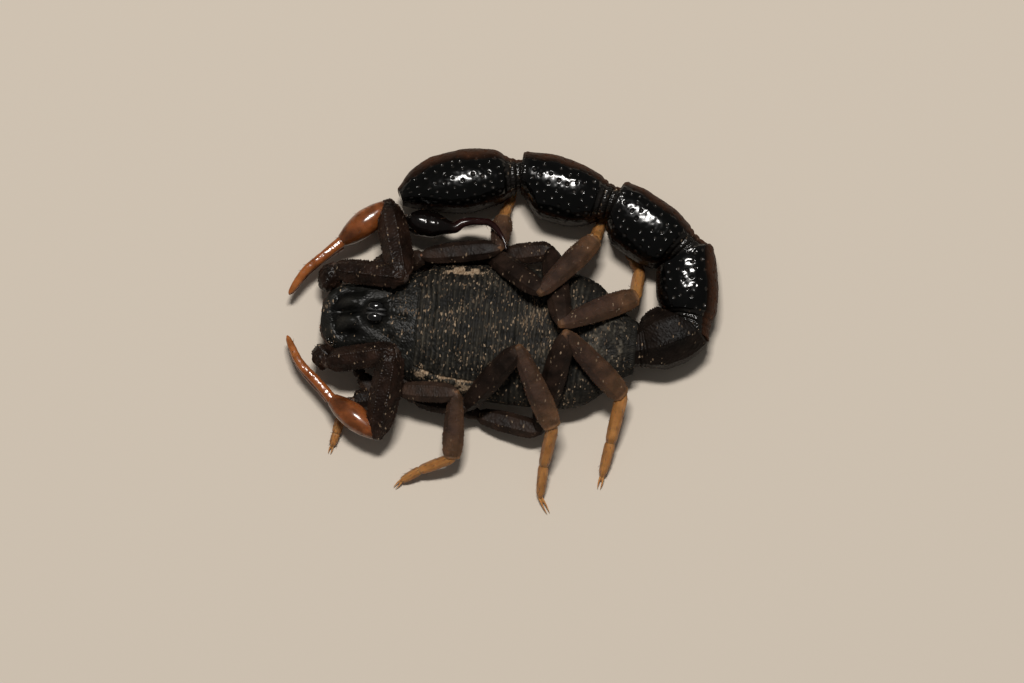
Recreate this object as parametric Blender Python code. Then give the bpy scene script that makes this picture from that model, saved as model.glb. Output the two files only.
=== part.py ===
"""Desert scorpion, a still life-size model lying at rest with its tail curled beside it.

The head points to -X and the floor is z = 0. All numbers are millimetres; a last
object scale of MM turns them into metres. The tail lies on its side, so a tail
segment's upper face looks into the curl and its underside looks out of it.
"""
import math

import bmesh
import bpy
from mathutils import Matrix, Vector

MM = 0.001
GAP = 0.04              # clearance between neighbouring pieces
MITRE_REACH = 0.65      # a long piece's bend is trimmed over this share of its first stretch
SHARP_EDGE = math.radians(40)
UP = Vector((0, 0, 1))
# sections: 2 is an oval, and higher values fill its shoulders towards a box
ROUND = 2.0
LIMB_SQUARENESS = 2.2
PLATE_SQUARENESS = 2.15
BELLY_SQUARENESS = 3.2
TAIL_SQUARENESS = 2.3

# ---- trunk ----
BODY_AXIS_Y = -0.34     # the animal's own middle plane
MARGIN_Z = 1.25         # height of the side edge of the back plates
MARGIN_DEPTH = 0.10     # how far a back plate hangs below that edge
BELLY_SHARE = 0.88      # width of the underside against the back plates
PLATE_STEP = 0.035      # each back plate's front edge tucks in by this share
STERNITE_END_SCALE = 0.97
SHIELD_FRONT_RISE = 0.90  # the head shield's front edge against the midline behind it
TRUNK_FRONT_X = -7.18
COXAE_FRONT_X = -6.72
CARAPACE_REAR_X = -3.35
COXAE_REAR_X = -2.15
# rear edges of the seven back plates
PLATE_REAR_X = (-2.70, -1.73, -0.64, 0.56, 1.97, 3.50, 5.42)
STERNITE_REAR_X = (-0.70, 0.65, 2.05, 3.50)

# x, half width of the back plates, height of the midline, height of the underside
TRUNK_PROFILE = (
    (-7.20, 0.52, 1.62, 0.90),
    (-7.05, 0.82, 1.70, 0.84),
    (-6.85, 1.08, 1.80, 0.75),
    (-6.50, 1.30, 1.96, 0.60),
    (-5.10, 1.68, 2.42, 0.44),
    (-3.35, 2.22, 2.50, 0.50),
    (-2.30, 2.60, 2.58, 0.50),
    (-1.10, 2.72, 2.64, 0.44),
    (1.00, 2.80, 2.66, 0.34),
    (2.80, 2.74, 2.58, 0.34),
    (3.60, 2.48, 2.50, 0.40),
    (4.30, 1.90, 2.38, 0.48),
    (4.90, 1.32, 2.28, 0.58),
    (5.45, 1.00, 2.18, 0.66),
)

# ---- the head shield leans to the animal's right, with its eyes on their low mound ----
CREST_SHIFT = 0.18      # how far the lean carries the middle of the shield
CREST_SHIFT_LENGTH = 1.2  # the lean fades out over this length before the rear edge
EYE_X = -5.03
EYE_OFFSET_Y = 0.20
EYE_RADIUS = 0.21
EYE_HEIGHT = 0.15
EYE_LIFT = 0.19         # the eye's foot above the midline of the head shield
EYE_LEAN = math.radians(38)
MOUND_HEIGHT = 0.25
MOUND_LENGTH = 0.46
MOUND_WIDTH = 0.34

# ---- tail ----
TAIL_Z = 1.38           # the widest segments lie on the floor with small flats
# where each segment's collar starts: x, y, heading in degrees; the last row is the tail's end
TAIL_JOINTS = (
    (5.44, -0.26, 0),
    (7.55, 0.72, 66),
    (7.22, 3.78, 124),
    (4.02, 5.50, 164),
    (0.12, 6.20, 184),
    (-4.60, 4.74, 205),
)
# per segment: share of its length, reach of the outer (under) side, reach of the
# inner (upper) side, half height of the segment as it lies
TAIL_PROFILES = (
    ((0.00, 0.86, 0.86, 0.80), (0.16, 1.08, 1.02, 1.02), (0.42, 1.34, 1.28, 1.26),
     (0.72, 1.32, 1.36, 1.32), (0.92, 1.12, 1.26, 1.22), (1.00, 0.98, 1.12, 1.10)),
    ((0.00, 0.74, 0.80, 0.90), (0.11, 0.82, 0.92, 1.00), (0.20, 0.98, 1.20, 1.24),
     (0.48, 1.08, 1.46, 1.38), (0.80, 1.02, 1.44, 1.40), (0.95, 0.92, 1.16, 1.34),
     (1.00, 0.84, 0.96, 1.24)),
    ((0.00, 0.66, 0.74, 0.88), (0.10, 0.70, 0.86, 0.98), (0.20, 0.86, 1.30, 1.26),
     (0.45, 1.06, 1.58, 1.40), (0.75, 1.06, 1.56, 1.42), (0.94, 0.92, 1.20, 1.36),
     (1.00, 0.82, 0.86, 1.24)),
    ((0.00, 0.56, 0.58, 0.84), (0.10, 0.62, 0.80, 0.98), (0.22, 0.84, 1.20, 1.26),
     (0.45, 1.06, 1.50, 1.42), (0.68, 1.12, 1.50, 1.42), (0.92, 0.98, 0.84, 1.34),
     (1.00, 0.86, 0.62, 1.20)),
    ((0.00, 0.56, 0.60, 0.82), (0.07, 0.72, 0.70, 0.98), (0.20, 1.20, 0.94, 1.28),
     (0.45, 1.44, 1.08, 1.41), (0.68, 1.38, 0.84, 1.32), (0.86, 1.02, 0.52, 1.10),
     (0.97, 0.50, 0.34, 0.76), (1.00, 0.36, 0.28, 0.62)),
)
# a segment's rings turn towards the joint's heading over these shares of its length, by
# these shares of the bend
TURN_IN_LENGTH = 0.25
TURN_IN_SHARE = 0.8
TURN_OUT_LENGTH = 0.20
TURN_OUT_SHARE = 0.6

# the venom bulb is folded back along the inner side of the last segment
BULB_ROOT = Vector((-4.30, 3.85, 1.42))
BULB_END = Vector((-2.34, 3.73, 1.62))
BULB_PROFILE = ((0.00, 0.20, 0.22), (0.08, 0.34, 0.38), (0.32, 0.52, 0.52),
                (0.60, 0.50, 0.51), (0.86, 0.30, 0.34))
STING_PATH = ((-2.34, 3.73, 1.62), (-1.98, 3.96, 1.64), (-1.51, 4.06, 1.72), (-1.07, 4.06, 1.86),
              (-0.75, 3.90, 2.04), (-0.48, 3.61, 2.18), (-0.26, 3.29, 2.27), (-0.13, 2.93, 2.31))
STING_RADII = (0.23, 0.18, 0.15, 0.14, 0.13, 0.11, 0.08, 0.04)

# ---- legs: hip, then the far ends of trochanter, femur, patella, tibia, heel, foot and claw ----
LEGS = {
    "leg_1_left": ((-5.62, -2.20, 0.86), (-5.42, -2.48, 0.90), (-4.70, -3.26, 1.00),
                   (-5.56, -3.50, 0.84), (-6.06, -4.28, 0.46), (-6.16, -4.84, 0.32),
                   (-6.28, -5.34, 0.18), (-6.36, -5.66, 0.08)),
    "leg_2_left": ((-4.50, -2.46, 0.86), (-4.14, -2.80, 1.14), (-3.80, -3.08, 1.72),
                   (-1.53, -3.08, 2.36), (-1.43, -5.53, 1.30), (-2.66, -6.03, 0.62),
                   (-3.36, -6.46, 0.23), (-3.62, -6.78, 0.09)),
    "leg_3_left": ((-3.62, -2.72, 0.84), (-3.13, -3.26, 1.00), (-1.06, -3.46, 1.72),
                   (0.81, -1.26, 3.72), (2.46, -4.03, 2.30), (2.24, -5.37, 0.96),
                   (2.22, -6.56, 0.27), (2.62, -7.16, 0.10)),
    "leg_4_left": ((-1.96, -3.02, 0.60), (-0.60, -3.56, 0.62), (1.90, -4.02, 1.14),
                   (2.63, -0.51, 3.87), (5.07, -2.35, 1.76), (4.80, -4.14, 0.84),
                   (4.60, -5.44, 0.25), (4.52, -5.96, 0.09)),
    "leg_1_right": ((-5.62, 1.52, 0.86), (-5.42, 1.80, 0.86), (-4.62, 2.50, 0.84),
                    (-4.78, 3.30, 0.84), (-5.26, 3.96, 0.46), (-5.78, 3.80, 0.32),
                    (-6.16, 3.50, 0.18), (-6.42, 3.24, 0.08)),
    "leg_2_right": ((-4.50, 1.78, 0.86), (-4.10, 2.06, 1.10), (-3.46, 2.44, 1.72),
                    (-0.45, 2.97, 2.19), (-0.41, 4.44, 1.00), (-0.30, 5.02, 0.48),
                    (-0.12, 5.46, 0.20), (-0.06, 5.72, 0.09)),
    "leg_3_right": ((-3.62, 2.04, 0.84), (-3.10, 2.50, 0.90), (-0.84, 2.90, 1.36),
                    (1.45, 1.12, 3.72), (3.34, 3.79, 1.86), (3.46, 4.60, 0.46),
                    (3.62, 5.20, 0.20), (3.74, 5.50, 0.10)),
    "leg_4_right": ((-1.96, 2.34, 0.60), (-0.42, 2.96, 0.58), (1.62, 3.30, 1.12),
                    (2.42, -0.07, 3.78), (5.18, 1.66, 1.76), (5.24, 3.02, 0.40),
                    (4.86, 3.44, 0.21), (4.62, 3.64, 0.10)),
}
LEG_GIRTH = {"1": 0.80, "2": 0.90, "3": 1.00, "4": 1.05}
# stretch, share of it, half width across the leg, half thickness
FEMUR_PROFILE = ((0, 0.05, 0.24, 0.24), (0, 0.90, 0.30, 0.27), (1, 0.15, 0.36, 0.26),
                 (1, 0.60, 0.40, 0.26), (1, 0.92, 0.34, 0.26), (1, 1.02, 0.24, 0.24))
PATELLA_PROFILE = ((0, -0.01, 0.26, 0.24), (0, 0.12, 0.36, 0.25), (0, 0.45, 0.46, 0.26),
                   (0, 0.80, 0.43, 0.26), (0, 0.95, 0.33, 0.26), (0, 1.02, 0.22, 0.22))
SHIN_PROFILE = ((0, 0.00, 0.25, 0.25), (0, 0.12, 0.31, 0.26), (0, 0.40, 0.41, 0.27),
                (0, 0.68, 0.46, 0.28), (0, 0.88, 0.41, 0.27), (0, 0.99, 0.31, 0.26),
                (1, 0.10, 0.26, 0.24), (1, 0.50, 0.27, 0.25), (1, 0.92, 0.25, 0.25),
                (2, 0.12, 0.24, 0.24), (2, 0.60, 0.24, 0.24), (2, 0.94, 0.22, 0.21),
                (3, 0.30, 0.20, 0.16), (3, 1.00, 0.10, 0.11))
BEND_START_SHARE = 0.15  # nearer than this to a bend, a limb's rings turn towards it
BEND_END_SHARE = 0.85
PATELLA_BOW = {"1": 0.0, "2": 0.05, "3": 0.16, "4": 0.18}  # lift of the middle over the trunk

# ---- pincer arms ----
# root, shoulder, elbow, wrist, palm, the fingers' bend and their tip
ARMS = {
    "left": ((-7.12, -1.74, 1.22), (-6.76, -2.22, 1.72), (-4.18, -1.76, 2.84),
             (-4.50, -4.96, 1.56), (-6.45, -3.65, 1.30), (-7.90, -2.30, 1.12),
             (-8.52, -1.24, 1.00)),
    "right": ((-7.20, 0.94, 1.22), (-6.86, 1.52, 1.72), (-4.14, 1.30, 2.84),
              (-5.02, 4.42, 1.56), (-6.73, 2.78, 1.30), (-8.04, 1.44, 1.12),
              (-8.62, 0.47, 1.00)),
}
SHOULDER_PROFILE = ((0, 0.04, 0.34, 0.40), (0, 0.35, 0.50, 0.52), (0, 0.80, 0.48, 0.50),
                    (0, 1.06, 0.34, 0.36))
UPPER_ARM_PROFILE = ((0, 0.02, 0.32, 0.32), (0, 0.16, 0.44, 0.42), (0, 0.60, 0.48, 0.44),
                     (0, 0.90, 0.44, 0.42), (0, 1.04, 0.30, 0.34))
FOREARM_PROFILE = ((0, -0.02, 0.34, 0.34), (0, 0.16, 0.54, 0.46), (0, 0.45, 0.60, 0.50),
                   (0, 0.78, 0.54, 0.48), (0, 0.93, 0.36, 0.36), (0, 1.02, 0.24, 0.26))
HAND_PROFILE = ((0, 0.00, 0.20, 0.22), (0, 0.16, 0.38, 0.40), (0, 0.48, 0.53, 0.52),
                (0, 0.80, 0.42, 0.42), (0, 0.98, 0.27, 0.30), (1, 0.10, 0.22, 0.18),
                (1, 0.90, 0.20, 0.16), (2, 0.50, 0.16, 0.14), (2, 1.00, 0.08, 0.08))
FINGER_PROFILE = ((0, 0.03, 0.20, 0.15), (0, 0.90, 0.19, 0.15), (1, 0.50, 0.15, 0.13),
                  (1, 1.00, 0.08, 0.07))
FINGER_SPREAD = 0.20    # each finger's height above or below their common line
FINGER_TIP_SHARE = 0.6  # of that spread left at the tips
FINGER_ROOT_DROP = 1.6  # spreads that the movable finger's root lies below the palm's end
FINGER_ROOT_SHARE = 0.06

# ---- mouthparts and combs ----
CHELICERA_SPAN_X = (-7.30, -6.78)
CHELICERA_OFFSET_Y = 0.36
CHELICERA_Z = 0.84
CHELICERA_DROP = 0.10   # the tip below the root
CHELICERA_TOE_IN = 0.06
CHELICERA_PROFILE = ((0, 0.00, 0.28, 0.24), (0, 0.50, 0.32, 0.28), (0, 0.80, 0.26, 0.24),
                     (0, 1.00, 0.12, 0.12))
PECTINE_ROOT = Vector((-2.55, 0.42, 0.30))
PECTINE_TIP = Vector((-1.10, 1.50, 0.26))
PECTINE_PROFILE = ((0, 0.02, 0.16, 0.09), (0, 0.30, 0.26, 0.10), (0, 0.75, 0.24, 0.10),
                   (0, 1.00, 0.10, 0.08))

# base colour, roughness
FINISHES = {
    "shell_matte": ((0.030, 0.033, 0.034), 0.60),
    "shell_gloss": ((0.012, 0.014, 0.016), 0.16),
    "limb_brown": ((0.040, 0.030, 0.028), 0.45),
    "limb_grey": ((0.075, 0.058, 0.050), 0.50),
    "pincer_honey": ((0.200, 0.095, 0.050), 0.22),
    "sting_red": ((0.060, 0.018, 0.014), 0.20),
    "eye_black": ((0.004, 0.004, 0.005), 0.04),
    "comb_tan": ((0.420, 0.300, 0.180), 0.50),
}


def clear_scene():
    for item in list(bpy.data.objects):
        bpy.data.objects.remove(item)


def make_materials():
    materials = {}
    for name, (colour, roughness) in FINISHES.items():
        material = bpy.data.materials.new(name)
        material.use_nodes = True
        shader = material.node_tree.nodes["Principled BSDF"]
        shader.inputs["Base Color"].default_value = (*colour, 1)
        shader.inputs["Roughness"].default_value = roughness
        shader.inputs["Metallic"].default_value = 0
        materials[name] = material
    return materials


def read_table(rows, key):
    """A table's values at key, in even steps from row to row."""
    if key <= rows[0][0]:
        return rows[0][1:]
    for low, high in zip(rows, rows[1:]):
        if key <= high[0]:
            share = (key - low[0]) / (high[0] - low[0])
            return tuple(a + (b - a) * share for a, b in zip(low[1:], high[1:]))
    return rows[-1][1:]


def oval(half_width, rise, drop, squareness, sides):
    """A closed outline of (across, up) pairs; above 2 the squareness fills its shoulders."""
    pairs = []
    for step in range(sides):
        angle = 2 * math.pi * step / sides
        cosine, sine = math.cos(angle), math.sin(angle)
        across = half_width * math.copysign(abs(cosine) ** (2 / squareness), cosine)
        reach = rise if sine > 0 else drop
        pairs.append((across, reach * math.copysign(abs(sine) ** (2 / squareness), sine)))
    return pairs


def loft(rings):
    """A closed skin over rings of points that all have the same count."""
    mesh = bmesh.new()
    rows = [[mesh.verts.new(point) for point in ring] for ring in rings]
    count = len(rows[0])
    for near, far in zip(rows, rows[1:]):
        for index in range(count):
            after = (index + 1) % count
            mesh.faces.new((near[index], near[after], far[after], far[index]))
    mesh.faces.new(rows[0])
    mesh.faces.new(rows[-1])
    bmesh.ops.recalc_face_normals(mesh, faces=mesh.faces)
    return mesh


def trim(mesh, point, normal, reach=math.inf):
    """Cut away what lies beyond the plane, on the side its normal points to, as far
    as reach from the point."""
    near = {vert for vert in mesh.verts if (vert.co - point).length < reach}
    touched = list(near) + [item for item in mesh.edges[:] + mesh.faces[:]
                            if near.issuperset(item.verts)]
    cut = bmesh.ops.bisect_plane(mesh, geom=touched, plane_co=point, plane_no=normal,
                                 clear_outer=True)
    edges = [item for item in cut["geom_cut"] if isinstance(item, bmesh.types.BMEdge)]
    if edges:
        bmesh.ops.edgeloop_fill(mesh, edges=edges)
        bmesh.ops.recalc_face_normals(mesh, faces=mesh.faces)


def rest_on_floor(mesh):
    """Flatten what reaches below the floor to a small flat at z = 0."""
    trim(mesh, Vector((0, 0, 0)), -UP)


def mitre_normal(before, joint, after):
    """The normal of the plane that halves the bend at a joint, pointing onwards."""
    return ((after - joint).normalized() - (before - joint).normalized()).normalized()


def mitre(mesh, chain, first, last):
    """Trim a limb piece that runs from chain[first] to chain[last] at both bends. On a
    piece of several stretches the first cut stays near its bend, to spare the foot."""
    if first > 0:
        normal = mitre_normal(*chain[first - 1:first + 2])
        reach = math.inf
        if last - first > 1:
            reach = (chain[first + 1] - chain[first]).length * MITRE_REACH
        trim(mesh, chain[first] + normal * GAP / 2, -normal, reach)
    if last < len(chain) - 1:
        normal = mitre_normal(*chain[last - 1:last + 2])
        trim(mesh, chain[last] - normal * GAP / 2, normal)


def add_piece(name, mesh, material, collection):
    data = bpy.data.meshes.new(name)
    bmesh.ops.triangulate(mesh, faces=mesh.faces)
    mesh.to_mesh(data)
    mesh.free()
    data.shade_smooth()
    data.set_sharp_from_angle(angle=SHARP_EDGE)
    data.materials.append(material)
    piece = bpy.data.objects.new(name, data)
    piece.scale = (MM, MM, MM)
    collection.objects.link(piece)
    return piece


def limb_rings(joints, profile, girth=1.0, sides=10, bow=0.0):
    """Rings along a bent limb. A profile row is (stretch, share, half width, half
    thickness); the width lies level, across the limb, and bow lifts its middle."""
    rings = []
    for stretch, share, half_width, half_thickness in profile:
        start, end = joints[stretch], joints[stretch + 1]
        along = (end - start).normalized()
        if share > BEND_END_SHARE and stretch + 2 < len(joints):
            along = (along * 2 + (joints[stretch + 2] - end).normalized()).normalized()
        elif share < BEND_START_SHARE and stretch > 0:
            along = (along * 2 + (start - joints[stretch - 1]).normalized()).normalized()
        across = along.cross(UP).normalized()
        lift = across.cross(along)
        centre = start.lerp(end, share) + lift * bow * math.sin(math.pi * share)
        outline = oval(half_width * girth, half_thickness * girth, half_thickness * girth,
                       LIMB_SQUARENESS, sides)
        rings.append([centre + across * a + lift * b for a, b in outline])
    return rings


def trunk_ring(x, scale, drop, squareness=PLATE_SQUARENESS, sides=20):
    """A ring across the trunk that rises above the side edge and drops below it."""
    half_width, top, _ = read_table(TRUNK_PROFILE, x)
    outline = oval(half_width * scale, (top - MARGIN_Z) * scale,
                   drop, squareness, sides)
    return [Vector((x, BODY_AXIS_Y + a, MARGIN_Z + b)) for a, b in outline]


def crest_shift(x):
    """How far the middle of the head shield stands aside of the trunk's own middle."""
    return CREST_SHIFT * min(1, (CARAPACE_REAR_X - x) / CREST_SHIFT_LENGTH)


def build_carapace(finish, collection):
    """The head shield: steep in front of the eyes, with their mound on its midline."""
    length = CARAPACE_REAR_X - GAP - TRUNK_FRONT_X
    rings = []
    for share in (0, 0.04, 0.09, 0.18, 0.32, 0.45, 0.56, 0.66, 0.80, 1):
        x = TRUNK_FRONT_X + length * share
        scale = SHIELD_FRONT_RISE if share == 0 else 1
        ring = trunk_ring(x, scale, MARGIN_DEPTH, ROUND, 24)
        along = (x - EYE_X) / MOUND_LENGTH
        rise = read_table(TRUNK_PROFILE, x)[1] - MARGIN_Z
        for point in ring:
            if point.z > MARGIN_Z:
                side = (point.y - BODY_AXIS_Y) / MOUND_WIDTH
                point.y += crest_shift(x) * (point.z - MARGIN_Z) / rise
                point.z += MOUND_HEIGHT * math.exp(-along * along - side * side)
        rings.append(ring)
    add_piece("carapace", loft(rings), finish, collection)


def build_eye(side, finish, collection):
    """A low dome that leans outwards on the flank of the mound."""
    mesh = bmesh.new()
    bmesh.ops.create_uvsphere(mesh, u_segments=10, v_segments=8, radius=EYE_RADIUS)
    rest_on_floor(mesh)
    _, top, _ = read_table(TRUNK_PROFILE, EYE_X)
    middle = BODY_AXIS_Y + crest_shift(EYE_X)
    place = (Matrix.Translation((EYE_X, middle + side * EYE_OFFSET_Y, top + EYE_LIFT))
             @ Matrix.Rotation(-side * EYE_LEAN, 4, "X")
             @ Matrix.Diagonal((1, 1, EYE_HEIGHT / EYE_RADIUS, 1)))
    bmesh.ops.transform(mesh, matrix=place, verts=mesh.verts)
    add_piece("median_eye_" + ("right" if side > 0 else "left"), mesh, finish, collection)


def build_back_plates(finish, collection):
    front = CARAPACE_REAR_X
    for number, rear in enumerate(PLATE_REAR_X, 1):
        start, end = front, rear - GAP
        rings = []
        for share, scale in ((0, 1 - PLATE_STEP), (0.22, 1 - PLATE_STEP / 3), (0.6, 1), (1, 1)):
            x = start + (end - start) * share
            drop = MARGIN_DEPTH
            if number == 7:
                drop = (MARGIN_Z - read_table(TRUNK_PROFILE, x)[2]) * scale
            rings.append(trunk_ring(x, scale, drop))
        add_piece(f"tergite_{number}", loft(rings), finish, collection)
        front = rear


def build_underside(finish, collection):
    """The plates under the trunk: one for the leg bases, four behind the combs."""
    spans = [("coxosternum", COXAE_FRONT_X, COXAE_REAR_X)]
    front = COXAE_REAR_X
    for number, rear in enumerate(STERNITE_REAR_X, 3):
        spans.append((f"sternite_{number}", front, rear))
        front = rear
    for name, start, end in spans:
        end -= GAP
        rings = []
        for share in (0, 0.12, 0.5, 0.88, 1):
            x = start + (end - start) * share
            half_width, _, belly = read_table(TRUNK_PROFILE, x)
            scale = STERNITE_END_SCALE if share in (0, 1) else 1
            top = MARGIN_Z - MARGIN_DEPTH - GAP
            middle = (top + belly) / 2
            half = (top - belly) / 2 * scale
            outline = oval(half_width * BELLY_SHARE * scale, half, half, BELLY_SQUARENESS, 16)
            rings.append([Vector((x, BODY_AXIS_Y + a, middle + b)) for a, b in outline])
        add_piece(name, loft(rings), finish, collection)


def tail_ring(number, share, outer, inner, half_height, sides=16):
    """A ring of one tail segment; its plane turns from joint to joint at the ends."""
    start_x, start_y, start_heading = TAIL_JOINTS[number]
    end_x, end_y, end_heading = TAIL_JOINTS[number + 1]
    own = math.degrees(math.atan2(end_y - start_y, end_x - start_x)) % 360
    turn_in = max(0, 1 - share / TURN_IN_LENGTH) * TURN_IN_SHARE
    turn_out = max(0, 1 - (1 - share) / TURN_OUT_LENGTH) * TURN_OUT_SHARE
    heading = own + (start_heading - own) * turn_in + (end_heading - own) * turn_out
    angle = math.radians(heading)
    inward = Vector((-math.sin(angle), math.cos(angle), 0))
    centre = Vector((start_x + (end_x - start_x) * share, start_y + (end_y - start_y) * share,
                     TAIL_Z))
    outline = oval(half_height, inner, outer, TAIL_SQUARENESS, sides)
    return [centre + inward * b + UP * a for a, b in outline]


def build_tail(finishes, collection):
    for number, profile in enumerate(TAIL_PROFILES):
        rings = []
        for share, outer, inner, half_height in profile:
            rings.append(tail_ring(number, share, outer, inner, half_height))
        mesh = loft(rings)
        for end, side in ((number, -1), (number + 1, 1)):
            x, y, heading = TAIL_JOINTS[end]
            onwards = Vector((math.cos(math.radians(heading)), math.sin(math.radians(heading)), 0))
            trim(mesh, Vector((x, y, 0)) - onwards * side * GAP / 2, onwards * side)
        rest_on_floor(mesh)
        finish = finishes["shell_matte" if number == 0 else "shell_gloss"]
        add_piece(f"metasoma_{number + 1}", mesh, finish, collection)


def build_telson(finish, collection):
    """The bulb and its curved sting, one piece as in life."""
    rings = []
    along = (BULB_END - BULB_ROOT).normalized()
    across = along.cross(UP).normalized()
    lift = across.cross(along)
    for share, half_width, half_height in BULB_PROFILE:
        centre = BULB_ROOT.lerp(BULB_END, share)
        outline = oval(half_width, half_height, half_height, ROUND, 12)
        rings.append([centre + across * a + lift * b for a, b in outline])
    points = [Vector(point) for point in STING_PATH]
    for index, (point, radius) in enumerate(zip(points, STING_RADII)):
        before, after = points[max(index - 1, 0)], points[min(index + 1, len(points) - 1)]
        along = (after - before).normalized()
        across = along.cross(UP).normalized()
        lift = across.cross(along)
        outline = oval(radius, radius, radius, ROUND, 12)
        rings.append([point + across * a + lift * b for a, b in outline])
    add_piece("telson", loft(rings), finish, collection)


def build_leg(name, finishes, collection):
    joints = [Vector(point) for point in LEGS[name]]
    girth = LEG_GIRTH[name.split("_")[1]]
    bow = PATELLA_BOW[name.split("_")[1]]
    stretches = (
        ("femur", 0, 2, FEMUR_PROFILE, 0, "limb_brown"),
        ("patella", 2, 3, PATELLA_PROFILE, bow, "limb_brown"),
        ("shin_foot", 3, 7, SHIN_PROFILE, 0, "limb_grey"),
    )
    for part, first, last, profile, lift, finish in stretches:
        mesh = loft(limb_rings(joints[first:last + 1], profile, girth, bow=lift))
        mitre(mesh, joints, first, last)
        rest_on_floor(mesh)
        add_piece(f"{name}_{part}", mesh, finishes[finish], collection)


def build_arm(side, finishes, collection):
    joints = [Vector(point) for point in ARMS[side]]
    spread = Vector((0, 0, FINGER_SPREAD))
    palm, bend, tip = joints[4:]
    joints[5:] = bend + spread, tip + spread * FINGER_TIP_SHARE
    stretches = (
        ("trochanter", 0, 1, SHOULDER_PROFILE, "limb_brown"),
        ("femur", 1, 2, UPPER_ARM_PROFILE, "limb_brown"),
        ("patella", 2, 3, FOREARM_PROFILE, "limb_brown"),
        ("hand", 3, 6, HAND_PROFILE, "pincer_honey"),
    )
    for part, first, last, profile, finish in stretches:
        mesh = loft(limb_rings(joints[first:last + 1], profile, sides=12))
        mitre(mesh, joints, first, last)
        add_piece(f"pedipalp_{side}_{part}", mesh, finishes[finish], collection)
    finger_root = palm.lerp(bend, FINGER_ROOT_SHARE) - spread * FINGER_ROOT_DROP
    finger = (finger_root, bend - spread, tip - spread * FINGER_TIP_SHARE)
    add_piece(f"pedipalp_{side}_finger", loft(limb_rings(finger, FINGER_PROFILE)),
              finishes["sting_red"], collection)


def build_mouthparts(finish, collection):
    """The two short pincers in front of the mouth."""
    for side, label in ((-1, "left"), (1, "right")):
        y = BODY_AXIS_Y + side * CHELICERA_OFFSET_Y
        start = Vector((CHELICERA_SPAN_X[1], y, CHELICERA_Z))
        end = Vector((CHELICERA_SPAN_X[0], y - side * CHELICERA_TOE_IN,
                      CHELICERA_Z - CHELICERA_DROP))
        mesh = loft(limb_rings((start, end), CHELICERA_PROFILE))
        add_piece(f"chelicera_{label}", mesh, finish, collection)


def build_pectines(finish, collection):
    """The pair of combs under the belly, swept back and outwards."""
    for side, label in ((-1, "left"), (1, "right")):
        path = [Vector((point.x, BODY_AXIS_Y + side * point.y, point.z))
                for point in (PECTINE_ROOT, PECTINE_TIP)]
        mesh = loft(limb_rings(path, PECTINE_PROFILE, 1.0, 8))
        add_piece(f"pectine_{label}", mesh, finish, collection)


def build_scorpion():
    clear_scene()
    collection = bpy.data.collections.new("desert_scorpion")
    bpy.context.scene.collection.children.link(collection)
    finishes = make_materials()
    build_carapace(finishes["shell_matte"], collection)
    for side in (-1, 1):
        build_eye(side, finishes["eye_black"], collection)
    build_mouthparts(finishes["limb_brown"], collection)
    build_back_plates(finishes["shell_matte"], collection)
    build_underside(finishes["limb_brown"], collection)
    build_pectines(finishes["comb_tan"], collection)
    build_tail(finishes, collection)
    build_telson(finishes["shell_gloss"], collection)
    for name in LEGS:
        build_leg(name, finishes, collection)
    for side in ARMS:
        build_arm(side, finishes, collection)


build_scorpion()
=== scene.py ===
"""The looks of the desert scorpion: fine shell plates, limbs, claws, skins and bristles.

Lengths are millimetres in the row's frame (head to -X, floor at z = 0, the animal's right
to +Y) and become metres when a piece is made. Every piece is a set of tubes: rings of
points along a path, pushed in and out along their normals by pits, granules and ridges.
"""
import itertools
import math

import bpy
import numpy as np
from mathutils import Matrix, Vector


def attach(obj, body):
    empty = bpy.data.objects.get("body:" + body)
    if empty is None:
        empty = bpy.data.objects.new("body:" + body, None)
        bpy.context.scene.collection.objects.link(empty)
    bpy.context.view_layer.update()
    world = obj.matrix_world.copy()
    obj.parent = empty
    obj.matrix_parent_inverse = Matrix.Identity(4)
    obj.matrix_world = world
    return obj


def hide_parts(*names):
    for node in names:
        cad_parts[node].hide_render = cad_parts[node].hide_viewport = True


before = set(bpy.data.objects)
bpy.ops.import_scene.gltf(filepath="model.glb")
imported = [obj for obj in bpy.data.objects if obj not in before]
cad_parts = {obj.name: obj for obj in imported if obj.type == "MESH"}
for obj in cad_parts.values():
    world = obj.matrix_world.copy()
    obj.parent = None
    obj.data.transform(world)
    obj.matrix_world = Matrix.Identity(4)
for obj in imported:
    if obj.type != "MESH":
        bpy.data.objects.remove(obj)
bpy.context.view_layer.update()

MM = 0.001
UP = np.array([0.0, 0.0, 1.0])
RIGHT = np.array([0.0, 1.0, 0.0])       # the animal's
TURN = 2 * math.pi
SIDES = ((-1, "left"), (1, "right"))

# ---- trunk, as in the solids ----
AXIS_Y = -0.34
MARGIN_Z = 1.25
MARGIN_DEPTH = 0.10
BELLY_SHARE = 0.88
TRUNK_FRONT_X = -7.18
CARAPACE_REAR_X = -3.35
PLATE_REAR_X = (-2.70, -1.73, -0.64, 0.56, 1.97, 3.50, 5.42)
STERNITE_ENDS_X = (-2.15, -0.70, 0.65, 2.05, 3.50)     # from the front of the first
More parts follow.
